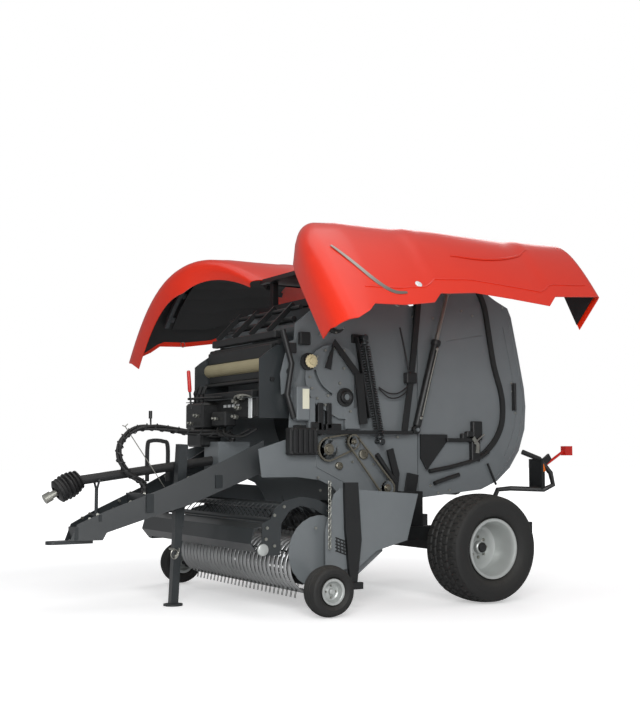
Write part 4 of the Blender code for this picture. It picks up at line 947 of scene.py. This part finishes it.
for name, first, second in (("front_drive_chain", 0, 1), ("rear_drive_chain", 2, 3)):
    line = belt_path(SPROCKETS[first], SPROCKETS[second])
    lengths = [(line[(i + 1) % len(line)] - line[i]).length for i in range(len(line))]
    count = round(sum(lengths) / 0.019)
    mesh = bmesh.new()
    base = chain_link()
    for k in range(count):
        travel = sum(lengths) * k / count
        i = 0
        while travel > lengths[i]:
            travel -= lengths[i]
            i += 1
        spot = line[i].lerp(line[(i + 1) % len(line)], travel / lengths[i])
        ahead = (line[(i + 1) % len(line)] - line[i]).normalized()
        side_way = Vector((1, 0, 0))
        turned = Matrix((ahead, side_way, ahead.cross(side_way))).transposed().to_4x4()
        narrow = Matrix.Diagonal((1, 0.78 if k % 2 else 1, 1, 1))
        bmesh.ops.transform(mesh, matrix=Matrix.Translation(spot) @ turned @ narrow,
                            verts=(lambda old: (mesh.from_mesh(base), [v for v in mesh.verts if v.index < 0 or
                                                                       v not in old])[1])(set(mesh.verts)))
    finished(name + "_links", mesh, CHAIN_STEEL, "chassis", replaces=(name,))
print("sprockets", len(SPROCKETS), "springs 2, chains 2")

# %% Covers, hubs and levers of the drive side
mesh = bmesh.new()
for y, z, radius, bore in ((0.42, 2.20, 0.066, 0.038), (0.51, 1.61, 0.052, 0.026), (0.17, 1.88, 0.046, 0.020)):
    turn(mesh, [(bore, -0.045), (bore, 0.030), (bore + 0.006, 0.034), (radius - 0.008, 0.034), (radius, 0.026),
                (radius, 0.006), (radius + 0.022, 0.002), (radius + 0.022, -0.012), (radius, -0.016),
                (radius, -0.045), (bore, -0.045)], place(0.705, y, z), (1, 0, 0), 40)
finished("bearing_hubs", mesh, BLACK, "chassis")
mesh = bmesh.new()
turn(mesh, [(0, 0), (0.050, 0), (0.050, 0.012), (0.042, 0.016), (0.030, 0.016), (0.028, 0.034), (0.016, 0.036),
            (0.014, 0.028), (0, 0.028)], place(0.742, 0.17, 1.88), (1, 0, 0), 28)
toothed(mesh, 0.17, 1.88, 0.052, 0.750, 14)
finished("cream_sprocket", mesh, BEIGE, "chassis")

mesh = bmesh.new()
sweep(mesh, [place(0.715, 0.34, 1.83), place(0.715, 0.40, 2.04), place(0.715, 0.62, 1.79)], strip_section(0.055, 0.012),
      up=(1, 0, 0))
sweep(mesh, [place(0.725, 0.62, 1.80), place(0.725, 0.665, 1.40)], strip_section(0.070, 0.020), up=(1, 0, 0))
sweep(mesh, [place(0.70, -0.06, 2.12), place(0.70, 0.02, 1.86), place(0.70, -0.02, 1.62), place(0.70, 0.04, 1.44)],
      ring_section(0.022, 12))
for y, z, dy, dz in ((0.14, 2.06, 0.09, 0.10), (0.02, 1.98, 0.08, 0.08), (0.24, 1.36, 0.10, 0.10), (0.40, 1.37, 0.14, 0.06),
                     (0.10, 1.36, 0.10, 0.05), (0.28, 1.44, 0.05, 0.24), (0.36, 1.46, 0.04, 0.20)):
    brick(mesh, place(0.664, y - dy / 2, z - dz / 2), place(0.712, y + dy / 2, z + dz / 2))
sweep(mesh, [place(0.72, 0.02, 1.335), place(0.72, 1.15, 1.335)], strip_section(0.030, 0.016), up=(1, 0, 0))
sweep(mesh, [place(0.71, 0.93, 1.20), place(0.71, 0.99, 1.00), place(0.71, 0.97, 0.86)], strip_section(0.060, 0.020),
      up=(1, 0, 0))
sweep(mesh, [place(0.715, 0.80, 1.16), place(0.715, 0.98, 0.93)], ring_section(0.020, 12))
finished("drive_brackets", mesh, BLACK, "chassis")

mesh = bmesh.new()
brick(mesh, place(0.664, 0.05, 1.42), place(0.735, 0.165, 1.685))
brick(mesh, place(0.664, 0.175, 1.36), place(0.700, 0.235, 1.60))
brick(mesh, place(0.664, 0.52, 1.36), place(0.690, 0.66, 1.53))
finished("drive_box_covers", mesh, PAINT, "chassis")
mesh = bmesh.new()
brick(mesh, place(0.7352, 0.098, 1.51), place(0.7362, 0.158, 1.665))
finished("cover_blank_label", mesh, LABEL, "chassis")

heads = [(place(0.700, 0.42 + 0.235 * math.cos(a), 1.76 + 0.235 * math.sin(a)), (1, 0, 0))
         for a in (math.radians(70 + 22 * i) for i in range(9))]
heads += [(place(0.700, y, z), (1, 0, 0)) for y, z in ((0.46, 1.72), (0.56, 1.66), (0.50, 1.84), (0.56, 1.50), (0.35, 1.62))]
heads += [(place(0.739, 0.42 + 0.077 * math.cos(a), 2.20 + 0.077 * math.sin(a)) - Vector((0.034, 0, 0)), (1, 0, 0))
          for a in (math.radians(30 + 60 * i) for i in range(6))]
heads += [(place(0.665, y, z), (1, 0, 0)) for y, z in ((0.53, 2.28), (0.30, 2.10),
                                                      (0.60, 1.10), (0.80, 1.08), (0.28, 0.98), (0.30, 0.88), (0.12, 1.38),
                                                      (0.98, 0.74), (1.18, 0.74), (1.20, 2.30), (1.04, 1.30))]
grown("drive_side_screws", heads, SCREW_HEADS, {"Radius": 0.0105, "Height": 0.009, "Sides": 6}, ZINC, "chassis")

mesh = bmesh.new()
for lift in (0.0, -0.035):
    line = smooth_path([place(0.69, 0.84, 1.70 + lift * 0.3), place(0.70, 0.93, 1.655 + lift), place(0.70, 1.03, 1.66 + lift),
                        place(0.70, 1.12, 1.72 + lift), place(0.70, 1.17, 1.80 + lift)], 6)
    sweep(mesh, line, ring_section(0.006, 8), up=(1, 0, 0))
line = smooth_path([place(0.68, 1.06, 2.20), place(0.69, 1.09, 2.05), place(0.70, 1.13, 1.85), place(0.70, 1.15, 1.80)], 5)
sweep(mesh, line, ring_section(0.007, 8), up=(1, 0, 0))
for y in (1.212, 1.232):
    line = smooth_path([place(0.67, y, 2.42), place(0.67, y - 0.010, 2.20), place(0.67, y - 0.030, 2.02)], 5)
    sweep(mesh, line, ring_section(0.007, 8), up=(1, 0, 0))
finished("side_hoses", mesh, HOSE_RUBBER, "chassis")
mesh = bmesh.new()
sweep(mesh, [place(0.70, 1.235, 2.45), place(0.70, 1.195, 2.10), place(0.70, 1.145, 1.72), place(0.70, 1.085, 1.345)],
      strip_section(0.052, 0.018), up=(1, 0, 0))
brick(mesh, place(0.664, 1.10, 1.74), place(0.725, 1.20, 1.83))
finished("wall_edge_post", mesh, BLACK, "chassis")

for word, side in SIDES:
    mesh = bmesh.new()
    outline = [(1.268, 1.325), (1.545, 1.325), (1.545, 1.27), (1.33, 1.03), (1.268, 1.13)]
    low = [mesh.verts.new(place(side * 0.662, *p)) for p in outline]
    high = [mesh.verts.new(place(side * 0.674, *p)) for p in outline]
    mesh.faces.new(low)
    mesh.faces.new(high[::-1])
    for i in range(len(outline)):
        n = (i + 1) % len(outline)
        mesh.faces.new((low[i], high[i], high[n], low[n]))
    bmesh.ops.recalc_face_normals(mesh, faces=mesh.faces)
    finished(word + "_lower_gusset", mesh, BLACK, "tailgate")
    mesh = bmesh.new()
    sweep(mesh, [place(side * 0.68, 1.18, 1.00), place(side * 0.68, 1.12, 0.70)], strip_section(0.10, 0.03), up=(1, 0, 0))
    finished(word + "_wall_stiffener", mesh, BLACK, "chassis")
mesh = bmesh.new()
brick(mesh, place(0.664, -0.015, 1.155), place(0.745, 0.235, 1.365))
for i in range(5):
    brick(mesh, place(0.740, 0.005 + 0.046 * i, 1.170), place(0.765, 0.023 + 0.046 * i, 1.350))
for y, z in ((0.0, 1.17), (0.22, 1.17), (0.0, 1.35), (0.22, 1.35)):
    turn(mesh, [(0, 0), (0.012, 0), (0.012, 0.010), (0.008, 0.012), (0, 0.012)], place(0.744, y, z), (1, 0, 0), 16)
finished("ribbed_drive_guard", mesh, PLASTIC, "chassis", replaces=("drive_guard",))
print("drive side dressed")

# %% [markdown]
# ## Tailgate
# The tailgate wall is edged by a folded flange.  A black rubber strip follows the curve inside
# it, bars and a latch hang at its lower edge, and the ram ends carry bright fittings.

# %% Tailgate walls
SEAL = ((1.90, 2.56), (1.95, 2.47), (1.985, 2.35), (2.06, 1.95), (2.135, 1.72), (2.16, 1.58), (2.145, 1.42),
        (2.07, 1.28), (1.95, 1.17), (1.86, 1.13))
FLANGE = ((2.28, 2.36), (2.30, 2.28), (2.42, 1.76), (2.44, 1.58), (2.40, 1.36), (2.30, 1.15), (2.12, 0.95))
RUBBER_SEAL = finish("black_rubber_seal", "#131414", "#1C1D1D", 0.55, 4, 0.06)
for word, side in SIDES:
    mesh = bmesh.new()
    line = smooth_path([place(side * 0.664, y, z) for y, z in SEAL], 5)
    sweep(mesh, line, strip_section(0.045, 0.022), up=(1, 0, 0))
    finished(word + "_tailgate_seal", mesh, RUBBER_SEAL, "tailgate")
    mesh = bmesh.new()
    line = smooth_path([place(side * 0.652, y - 0.030, z) for y, z in FLANGE], 5)
    sweep(mesh, line, [(-0.010, -0.003), (0.010, -0.003), (0.004, 0.007), (-0.004, 0.007)], up=(1, 0, 0))
    line = smooth_path([place(side * 0.652, y - 0.115, z - 0.01) for y, z in FLANGE[1:-1]], 5)
    sweep(mesh, line, [(-0.004, -0.003), (0.004, -0.003), (0.001, 0.003), (-0.001, 0.003)], up=(1, 0, 0))
    sweep(mesh, [place(side * 0.652, 1.565, 2.115), place(side * 0.652, 1.965, 2.185)],
          [(-0.004, -0.003), (0.004, -0.003), (0.001, 0.003), (-0.001, 0.003)], up=(1, 0, 0))
    finished(word + "_tailgate_folds", mesh, PAINT, "tailgate")
    mesh = bmesh.new()
    for y, z, dy, dz in ((1.72, 1.31, 0.05, 0.05), (1.78, 1.33, 0.07, 0.05), (1.86, 1.36, 0.10, 0.16), (1.70, 1.28, 0.34, 0.030),
                         (1.84, 1.20, 0.09, 0.20), (2.285, 1.66, 0.016, 0.24)):
        brick(mesh, place(side * 0.655 - 0.010, y - dy / 2, z - dz / 2), place(side * 0.655 + 0.040, y + dy / 2, z + dz / 2)) \
            if side > 0 else brick(mesh, place(side * 0.655 - 0.040, y - dy / 2, z - dz / 2),
                                   place(side * 0.655 + 0.010, y + dy / 2, z + dz / 2))
    for ends in (((1.35, 1.02), (1.60, 1.06), (1.86, 1.12), (1.98, 1.18)), ((1.40, 0.92), (1.52, 0.955), (1.66, 0.99))):
        line = smooth_path([place(side * 0.680, *p) for p in ends], 5)
        sweep(mesh, line, ring_section(0.017, 12), up=(1, 0, 0))
    sweep(mesh, [place(side * 0.67, 1.98, 1.08), place(side * 0.67, 2.07, 0.90)], ring_section(0.010, 8))
    finished(word + "_tailgate_latch_bars", mesh, BLACK, "tailgate")
    mesh = bmesh.new()
    sweep(mesh, [place(side * 0.70, 1.80, 1.30), place(side * 0.70, 1.85, 1.24), place(side * 0.70, 1.845, 1.17)],
          strip_section(0.035, 0.008), up=(1, 0, 0))
    sweep(mesh, [place(side * 0.70, 1.81, 1.25), place(side * 0.70, 1.92, 1.33)], ring_section(0.007, 8))
    finished(word + "_tailgate_latch", mesh, ZINC, "tailgate")
    heads = [(place(side * 0.651, y, z), (side, 0, 0)) for y, z in ((1.725, 2.383), (1.845, 2.348), (2.27, 1.78), (2.285, 1.71),
             (2.30, 1.60), (2.315, 1.52), (1.46, 0.84), (1.58, 0.86), (1.38, 0.90), (1.42, 2.30), (2.18, 2.44))]
    grown(word + "_tailgate_screws", heads, SCREW_HEADS, {"Radius": 0.011, "Height": 0.008, "Sides": 6}, ZINC,
          "tailgate")

# %% Rams
for word, side in SIDES:
    low, high = place(side * 0.70, 1.20, 1.36), place(side * 0.70, 1.54, 2.53)
    along = (high - low).normalized()
    mesh = bmesh.new()
    turn(mesh, [(0, 0.030), (0.030, 0.032), (0.034, 0.042), (0.034, 0.735), (0.040, 0.740), (0.042, 0.748), (0.042, 0.775),
                (0.038, 0.780), (0.0195, 0.780)] + [(0.0195, 0.770), (0, 0.770)], low, along, 32)
    cross = Vector((side, 0, 0))
    turn(mesh, [(0.016, -0.020), (0.016, 0.020), (0.032, 0.020), (0.035, 0.017), (0.035, -0.017), (0.032, -0.020),
                (0.016, -0.020)], low, cross, 32)
    finished(word + "_ram_barrel_round", mesh, BLACK, word + "_ram_barrel",
             replaces=(word + "_ram_barrel",))
    mesh = bmesh.new()
    for share in (0.10, 0.70):
        turn(mesh, [(0, 0), (0.012, 0), (0.014, 0.004), (0.014, 0.014), (0.010, 0.018), (0, 0.018)],
             low + along * share + cross * 0.031, cross, 12)
    sweep(mesh, [low + along * 0.12 + cross * 0.044, low + along * 0.40 + cross * 0.041, low + along * 0.70 + cross * 0.044],
          ring_section(0.006, 8))
    finished(word + "_ram_oil_line", mesh, ZINC, word + "_ram_barrel")
    mesh = bmesh.new()
    length = (high - low).length
    turn(mesh, [(0, 0.42), (0.0175, 0.42), (0.0175, length - 0.028), (0, length - 0.028)], low, along, 28)
    turn(mesh, [(0, -0.020), (0.030, -0.020), (0.032, -0.017), (0.032, 0.017), (0.030, 0.020), (0.012, 0.021), (0.012, 0.026),
                (0, 0.026)], high, cross, 28)
    turn(mesh, [(0, 0), (0.024, 0), (0.024, 0.0295), (0, 0.0295)], high - cross * 0.0497, cross, 24)
    finished(word + "_ram_rod_round", mesh, ZINC, word + "_ram_rod", replaces=(word + "_ram_rod",))
print("tailgate dressed")

# %% [markdown]
# ## Front of the machine
# The net box, its cheek plate and the control panel stand over the drawbar.  The hydraulic hoses
# leave the gearbox in one wrapped bundle, and the drive shaft wears a ribbed rubber cone.

# %% Drive shaft cone, hoses and their stay
shaft = (place(0, -1.44, 0.962), Vector((0, -0.8732, -0.4874)))
mesh = bmesh.new()
rib = []
for i in range(7):
    reach = 0.048 + 0.034 * math.sin(math.pi * (i + 0.8) / 8.2)
    rib += [(reach, 0.030 * i - 0.030), (reach + 0.016, 0.030 * i - 0.024), (reach + 0.018, 0.030 * i - 0.015),
            (reach + 0.004, 0.030 * i - 0.006)]
rib = [(0.030, -0.030)] + rib + [(0.052, 0.178), (0.046, 0.180), (0.040, 0.150), (0.030, -0.030)]
turn(mesh, rib, shaft[0], shaft[1], 40)
finished("drive_shaft_cone", mesh, HOSE_RUBBER, "drive_shaft", 50)
mesh = bmesh.new()
bundle = smooth_path([place(0.085, y, z) for y, z in (
    (-0.18, 1.26), (-0.18, 1.30), (-0.23, 1.325), (-0.36, 1.33), (-0.54, 1.335), (-0.70, 1.352), (-0.85, 1.37),
    (-0.98, 1.36), (-1.08, 1.31), (-1.13, 1.23), (-1.13, 1.12), (-1.06, 1.02), (-0.96, 0.96), (-0.93, 0.92),
    (-0.93, 0.862))], 5)
for k in range(3):
    strand = []
    for i, point in enumerate(bundle):
        a = 2 * math.pi * (k / 3 + i / 34)
        ahead = (bundle[min(i + 1, len(bundle) - 1)] - bundle[max(i - 1, 0)]).normalized()
        lift = Vector((1, 0, 0)).cross(ahead).normalized()
        strand.append(point + (Vector((1, 0, 0)) * math.cos(a) + lift * math.sin(a)) * 0.0135)
    sweep(mesh, strand, ring_section(0.0120, 10), up=(1, 0, 0))
finished("hose_strands", mesh, HOSE_RUBBER, "chassis", replaces=("hose_bundle",))
mesh = bmesh.new()
spiral = []
for i in range(len(bundle) * 3 - 2):
    a = 2 * math.pi * i / 9
    share = i / 3
    low = bundle[int(share)]
    point = low.lerp(bundle[min(int(share) + 1, len(bundle) - 1)], share - int(share))
    ahead = (bundle[min(int(share) + 1, len(bundle) - 1)] - bundle[max(int(share) - 1, 0)]).normalized()
    lift = Vector((1, 0, 0)).cross(ahead).normalized()
    spiral.append(point + (Vector((1, 0, 0)) * math.cos(a) + lift * math.sin(a)) * 0.0275)
sweep(mesh, spiral, strip_section(0.010, 0.003), up=(1, 0, 0))
finished("hose_spiral_wrap", mesh, PLASTIC, "chassis")
mesh = bmesh.new()
sweep(mesh, [place(0.085, -1.09, 1.372), place(0.085, -0.76, 0.906)], ring_section(0.004, 8))
sweep(mesh, [place(0.085, -1.112, 1.380), place(0.085, -1.09, 1.372), place(0.085, -1.07, 1.392)], ring_section(0.004, 8))
finished("hose_stay_rod", mesh, ZINC, "chassis")
mesh = bmesh.new()
hoop = smooth_path([place(0.0, -0.87, 0.95), place(0.0, -0.87, 1.22), place(0.0, -0.84, 1.265), place(0.0, -0.74, 1.262),
                    place(0.0, -0.70, 1.22), place(0.0, -0.70, 0.95)], 5)
sweep(mesh, hoop, strip_section(0.030, 0.014), up=(1, 0, 0))
sweep(mesh, [place(-0.02, -0.84, 1.48), place(-0.02, -0.835, 1.36), place(-0.02, -0.55, 1.33)], ring_section(0.009, 10),
      up=(1, 0, 0))
sweep(mesh, [place(-0.02, -0.84, 1.50), place(-0.02, -0.84, 1.44)], ring_section(0.014, 12))
finished("hose_hoop_and_crank", mesh, BLACK, "chassis")

# %% Net box, cheek plate and control panel
DEEP = finish("charcoal_frame_coat", "#24282A", "#2C3032", 0.38, 8, 0.05, coat=0.15)
for node in ("drawbar", "jack_leg", "jack_sleeve", "hitch_tongue", "net_box", "chamber_front_sheet", "wind_guard",
             "front_cross_beam", "lower_cross_beam"):
    frame["nodes"][node].data.materials.clear()
    frame["nodes"][node].data.materials.append(DEEP)
mesh = bmesh.new()
for y, z, dy, dz in ((-0.06, 1.97, 0.05, 0.10), (-0.05, 1.79, 0.04, 0.06), (-0.02, 2.10, 0.06, 0.06)):
    brick(mesh, place(-0.56, y - dy / 2, z - dz / 2), place(0.56, y + dy / 2, z + dz / 2))
for y, z, radius in ((-0.03, 2.03, 0.020), (-0.09, 1.74, 0.018), (0.10, 2.22, 0.024), (0.16, 2.32, 0.018)):
    sweep(mesh, [place(-0.60, y, z), place(0.60, y, z)], ring_section(radius, 16))
for x in (-0.45, -0.15, 0.15, 0.45):
    sweep(mesh, [place(x, -0.05, 2.13), place(x, 0.18, 2.36)], strip_section(0.04, 0.02), up=(1, 0, 0))
finished("net_box_bars", mesh, BLACK, "chassis")
mesh = bmesh.new()
for x in (-0.55, 0.55):
    turn(mesh, [(0, -0.012), (0.050, -0.012), (0.054, -0.008), (0.054, 0.008), (0.050, 0.012), (0, 0.012)],
         place(x, 0.05, 1.87), (1, 0, 0), 32)
finished("net_roll_flanges", mesh, PLASTIC, "chassis")

mesh = bmesh.new()
plate_line = [(0.02, 2.03), (0.10, 2.06), (0.16, 1.96), (0.12, 1.78), (0.06, 1.66), (-0.04, 1.62), (-0.05, 1.78)]
low = [mesh.verts.new(place(0.640, *p)) for p in plate_line]
high = [mesh.verts.new(place(0.650, *p)) for p in plate_line]
mesh.faces.new(low)
mesh.faces.new(high[::-1])
for i in range(len(plate_line)):
    n = (i + 1) % len(plate_line)
    mesh.faces.new((low[i], high[i], high[n], low[n]))
bmesh.ops.recalc_face_normals(mesh, faces=mesh.faces)
finished("net_cheek_plate", mesh, PAINT, "chassis")
mesh = bmesh.new()
turn(mesh, [(0, -0.002), (0.030, -0.002), (0.030, 0.003), (0.022, 0.003), (0.020, -0.001), (0, -0.001)],
     place(0.652, 0.03, 1.80), (1, 0, 0), 28)
finished("cheek_plate_ring", mesh, BLACK, "chassis")

mesh = bmesh.new()
brick(mesh, place(-0.56, -0.22, 1.60), place(0.50, -0.12, 1.66))
brick(mesh, place(-0.42, -0.36, 1.36), place(-0.10, -0.20, 1.58))
brick(mesh, place(-0.05, -0.30, 1.38), place(0.20, -0.20, 1.50))
brick(mesh, place(-0.30, -0.40, 1.22), place(-0.02, -0.22, 1.36))
for x in (-0.36, -0.28, -0.20):
    sweep(mesh, [place(x, -0.30, 1.58), place(x, -0.30, 1.66), place(x + 0.01, -0.28, 1.72)], ring_section(0.016, 10))
for x, y in ((-0.20, -0.30), (0.02, -0.26), (0.10, -0.24)):
    line = smooth_path([place(x, y, 1.40), place(x + 0.10, y - 0.06, 1.32), place(x + 0.24, y + 0.02, 1.30),
                        place(x + 0.34, y + 0.10, 1.36)], 5)
    sweep(mesh, line, ring_section(0.010, 8), up=(0, 0, 1))
finished("valve_blocks", mesh, BLACK, "chassis")
mesh = bmesh.new()
for i in range(4):
    brick(mesh, place(0.02 + 0.075 * i, -0.2235, 1.535), place(0.068 + 0.075 * i, -0.2215, 1.556))
brick(mesh, place(0.470, -0.235, 1.44), place(0.520, -0.225, 1.60))
finished("panel_blank_labels", mesh, WHITE_REFLECTOR, "chassis")
mesh = bmesh.new()
for x, y, z, r in ((0.30, -0.24, 1.57, 0.020), (0.36, -0.25, 1.52, 0.018), (0.40, -0.24, 1.60, 0.022), (0.33, -0.26, 1.45, 0.018),
                   (-0.14, -0.37, 1.47, 0.016), (-0.25, -0.37, 1.41, 0.014), (0.08, -0.31, 1.44, 0.014)):
    turn(mesh, [(0, 0), (r, 0), (r, 0.030), (r * 0.7, 0.034), (r * 0.7, 0.056), (r * 0.4, 0.060), (0, 0.060)],
         place(x, y, z), (0.25, -0.9, 0.1), 12)
sweep(mesh, smooth_path([place(0.30, -0.27, 1.57), place(0.38, -0.30, 1.61), place(0.44, -0.26, 1.62), place(0.50, -0.22, 1.60)], 4),
      ring_section(0.008, 8), up=(0, 0, 1))
finished("hydraulic_fittings", mesh, ZINC, "chassis")
mesh = bmesh.new()
sweep(mesh, [place(-0.02, -0.49, 1.52), place(-0.02, -0.505, 1.66)], ring_section(0.008, 10))
sweep(mesh, [place(-0.02, -0.52, 1.60), place(-0.02, -0.22, 1.62)], ring_section(0.010, 10))
finished("side_lever", mesh, BLACK, "chassis")
mesh = bmesh.new()
turn(mesh, [(0, 0), (0.013, 0.002), (0.016, 0.02), (0.015, 0.16), (0.012, 0.172), (0, 0.176)], place(-0.02, -0.504, 1.655),
     (0, -0.08, 1), 20)
finished("side_lever_grip", mesh, RED_GRIP, "chassis")
print("front dressed")

# %% Drawbar bolts, plates and jack pin
heads = []
for side in (1, -1):
    for y, z, x in ((-1.30, 0.71, 0.085), (-1.36, 0.68, 0.080), (-1.05, 0.80, 0.115), (-1.10, 0.74, 0.110), (-0.95, 0.86, 0.140),
                    (-0.62, 0.98, 0.218), (-0.35, 1.06, 0.300)):
        heads.append((place(side * x, y, z), (side * 0.96, -0.26, 0)))
grown("drawbar_screws", heads, SCREW_HEADS, {"Radius": 0.012, "Height": 0.012, "Sides": 6}, ZINC, "chassis")
mesh = bmesh.new()
sweep(mesh, [place(0.11 + 0.034, -0.70, 0.43), place(0.11 - 0.050, -0.70, 0.43)], ring_section(0.009, 12))
pull = [place(0.150, -0.70 + 0.030 * math.cos(a), 0.395 + 0.036 * math.sin(a)) for a in (2 * math.pi * i / 20 for i in range(20))]
sweep(mesh, pull, ring_section(0.004, 8), up=(1, 0, 0), closed=True)
for i in range(9):
    centre = place(0.152, -0.665 - 0.004 * i, 0.43 - 0.016 * i + 0.0012 * i * i)
    wide = 0.008 if i % 2 else 0.0035
    ringlet = [centre + Vector(((0.008 if i % 2 == 0 else 0.0035) * math.cos(a), wide * math.cos(a), 0.011 * math.sin(a)))
               for a in (2 * math.pi * k / 10 for k in range(10))]
    sweep(mesh, ringlet, ring_section(0.002, 5), up=(1, 0, 0), closed=True)
finished("jack_pin_and_chain", mesh, ZINC, "chassis")
mesh = bmesh.new()
line = [(0.106, 0.956), (0.106, 0.463)]
for i in range(22):
    z = 0.95 - 0.0225 * i
    flat = i % 2 == 0
    ringlet = [place(1.117, 0.106, z) + Vector(((0.002 if flat else 0.010) * math.cos(a), (0.010 if flat else 0.002) * math.cos(a),
                                                0.016 * math.sin(a))) for a in (2 * math.pi * k / 12 for k in range(12))]
    sweep(mesh, ringlet, ring_section(0.0032, 6), up=(0.2, 1, 0), closed=True)
finished("pickup_stop_chain", mesh, ZINC, "pickup")
mesh = bmesh.new()
for i in range(5):
    sweep(mesh, [place(1.072, 0.195 + 0.030 * i, 0.545 - 0.012 * i), place(1.072, 0.200 + 0.030 * i, 0.450 - 0.012 * i)],
          ring_section(0.005, 6))
for i in range(5):
    sweep(mesh, [place(1.072, 0.185, 0.545 - 0.024 * i), place(1.072, 0.335, 0.490 - 0.024 * i)], ring_section(0.005, 6))
finished("side_plate_grid", mesh, BLACK, "pickup")
mesh = bmesh.new()
brick(mesh, place(1.066, 0.30, 0.478), place(1.072, 0.35, 0.522))
finished("side_plate_reflector", mesh, WHITE_REFLECTOR, "pickup")
heads = []
for side in (1, -1):
    for y, z in ((0.02, 0.62), (0.20, 0.68), (0.42, 0.72), (0.55, 0.52), (0.42, 0.42), (0.28, 0.60)):
        heads.append((place(side * 1.061, y, z), (side, 0, 0)))
grown("pickup_side_screws", heads, SCREW_HEADS, {"Radius": 0.011, "Height": 0.009, "Sides": 6}, ZINC, "pickup")
print("drawbar and pick-up fittings")

# %% Tail lamps and rear plates
for word, side in SIDES:
    mesh = bmesh.new()
    brick(mesh, place(side * 0.88 - 0.05, 2.352, 0.88), place(side * 0.88 + 0.05, 2.400, 1.09))
    sweep(mesh, [place(side * 0.90, 2.36, 1.04), place(side * 0.90, 2.42, 1.10), place(side * 0.90, 2.48, 1.14)],
          strip_section(0.06, 0.02), up=(1, 0, 0))
    finished(word + "_lamp_housing", mesh, PLASTIC, "chassis")
    mesh = bmesh.new()
    for z in (0.915, 1.055):
        turn(mesh, [(0, 0.014), (0.022, 0.013), (0.034, 0.008), (0.038, 0.0), (0.038, -0.006), (0, -0.006)],
             place(side * 0.88, 2.400, z), (0, 1, 0), 28)
    turn(mesh, [(0, 0.014), (0.022, 0.013), (0.034, 0.008), (0.038, 0.0), (0.038, -0.006), (0, -0.006)],
         place(side * 0.93, 2.375, 1.045), (side, 0, 0), 28)
    finished(word + "_amber_lamp", mesh, AMBER, "chassis")
    mesh = bmesh.new()
    turn(mesh, [(0, 0.012), (0.024, 0.011), (0.036, 0.006), (0.040, 0.0), (0.040, -0.006), (0, -0.006)],
         place(side * 0.88, 2.400, 0.985), (0, 1, 0), 28)
    finished(word + "_red_lamp", mesh, FINISHES["lamp_lens"], "chassis")
print("lamps dressed")
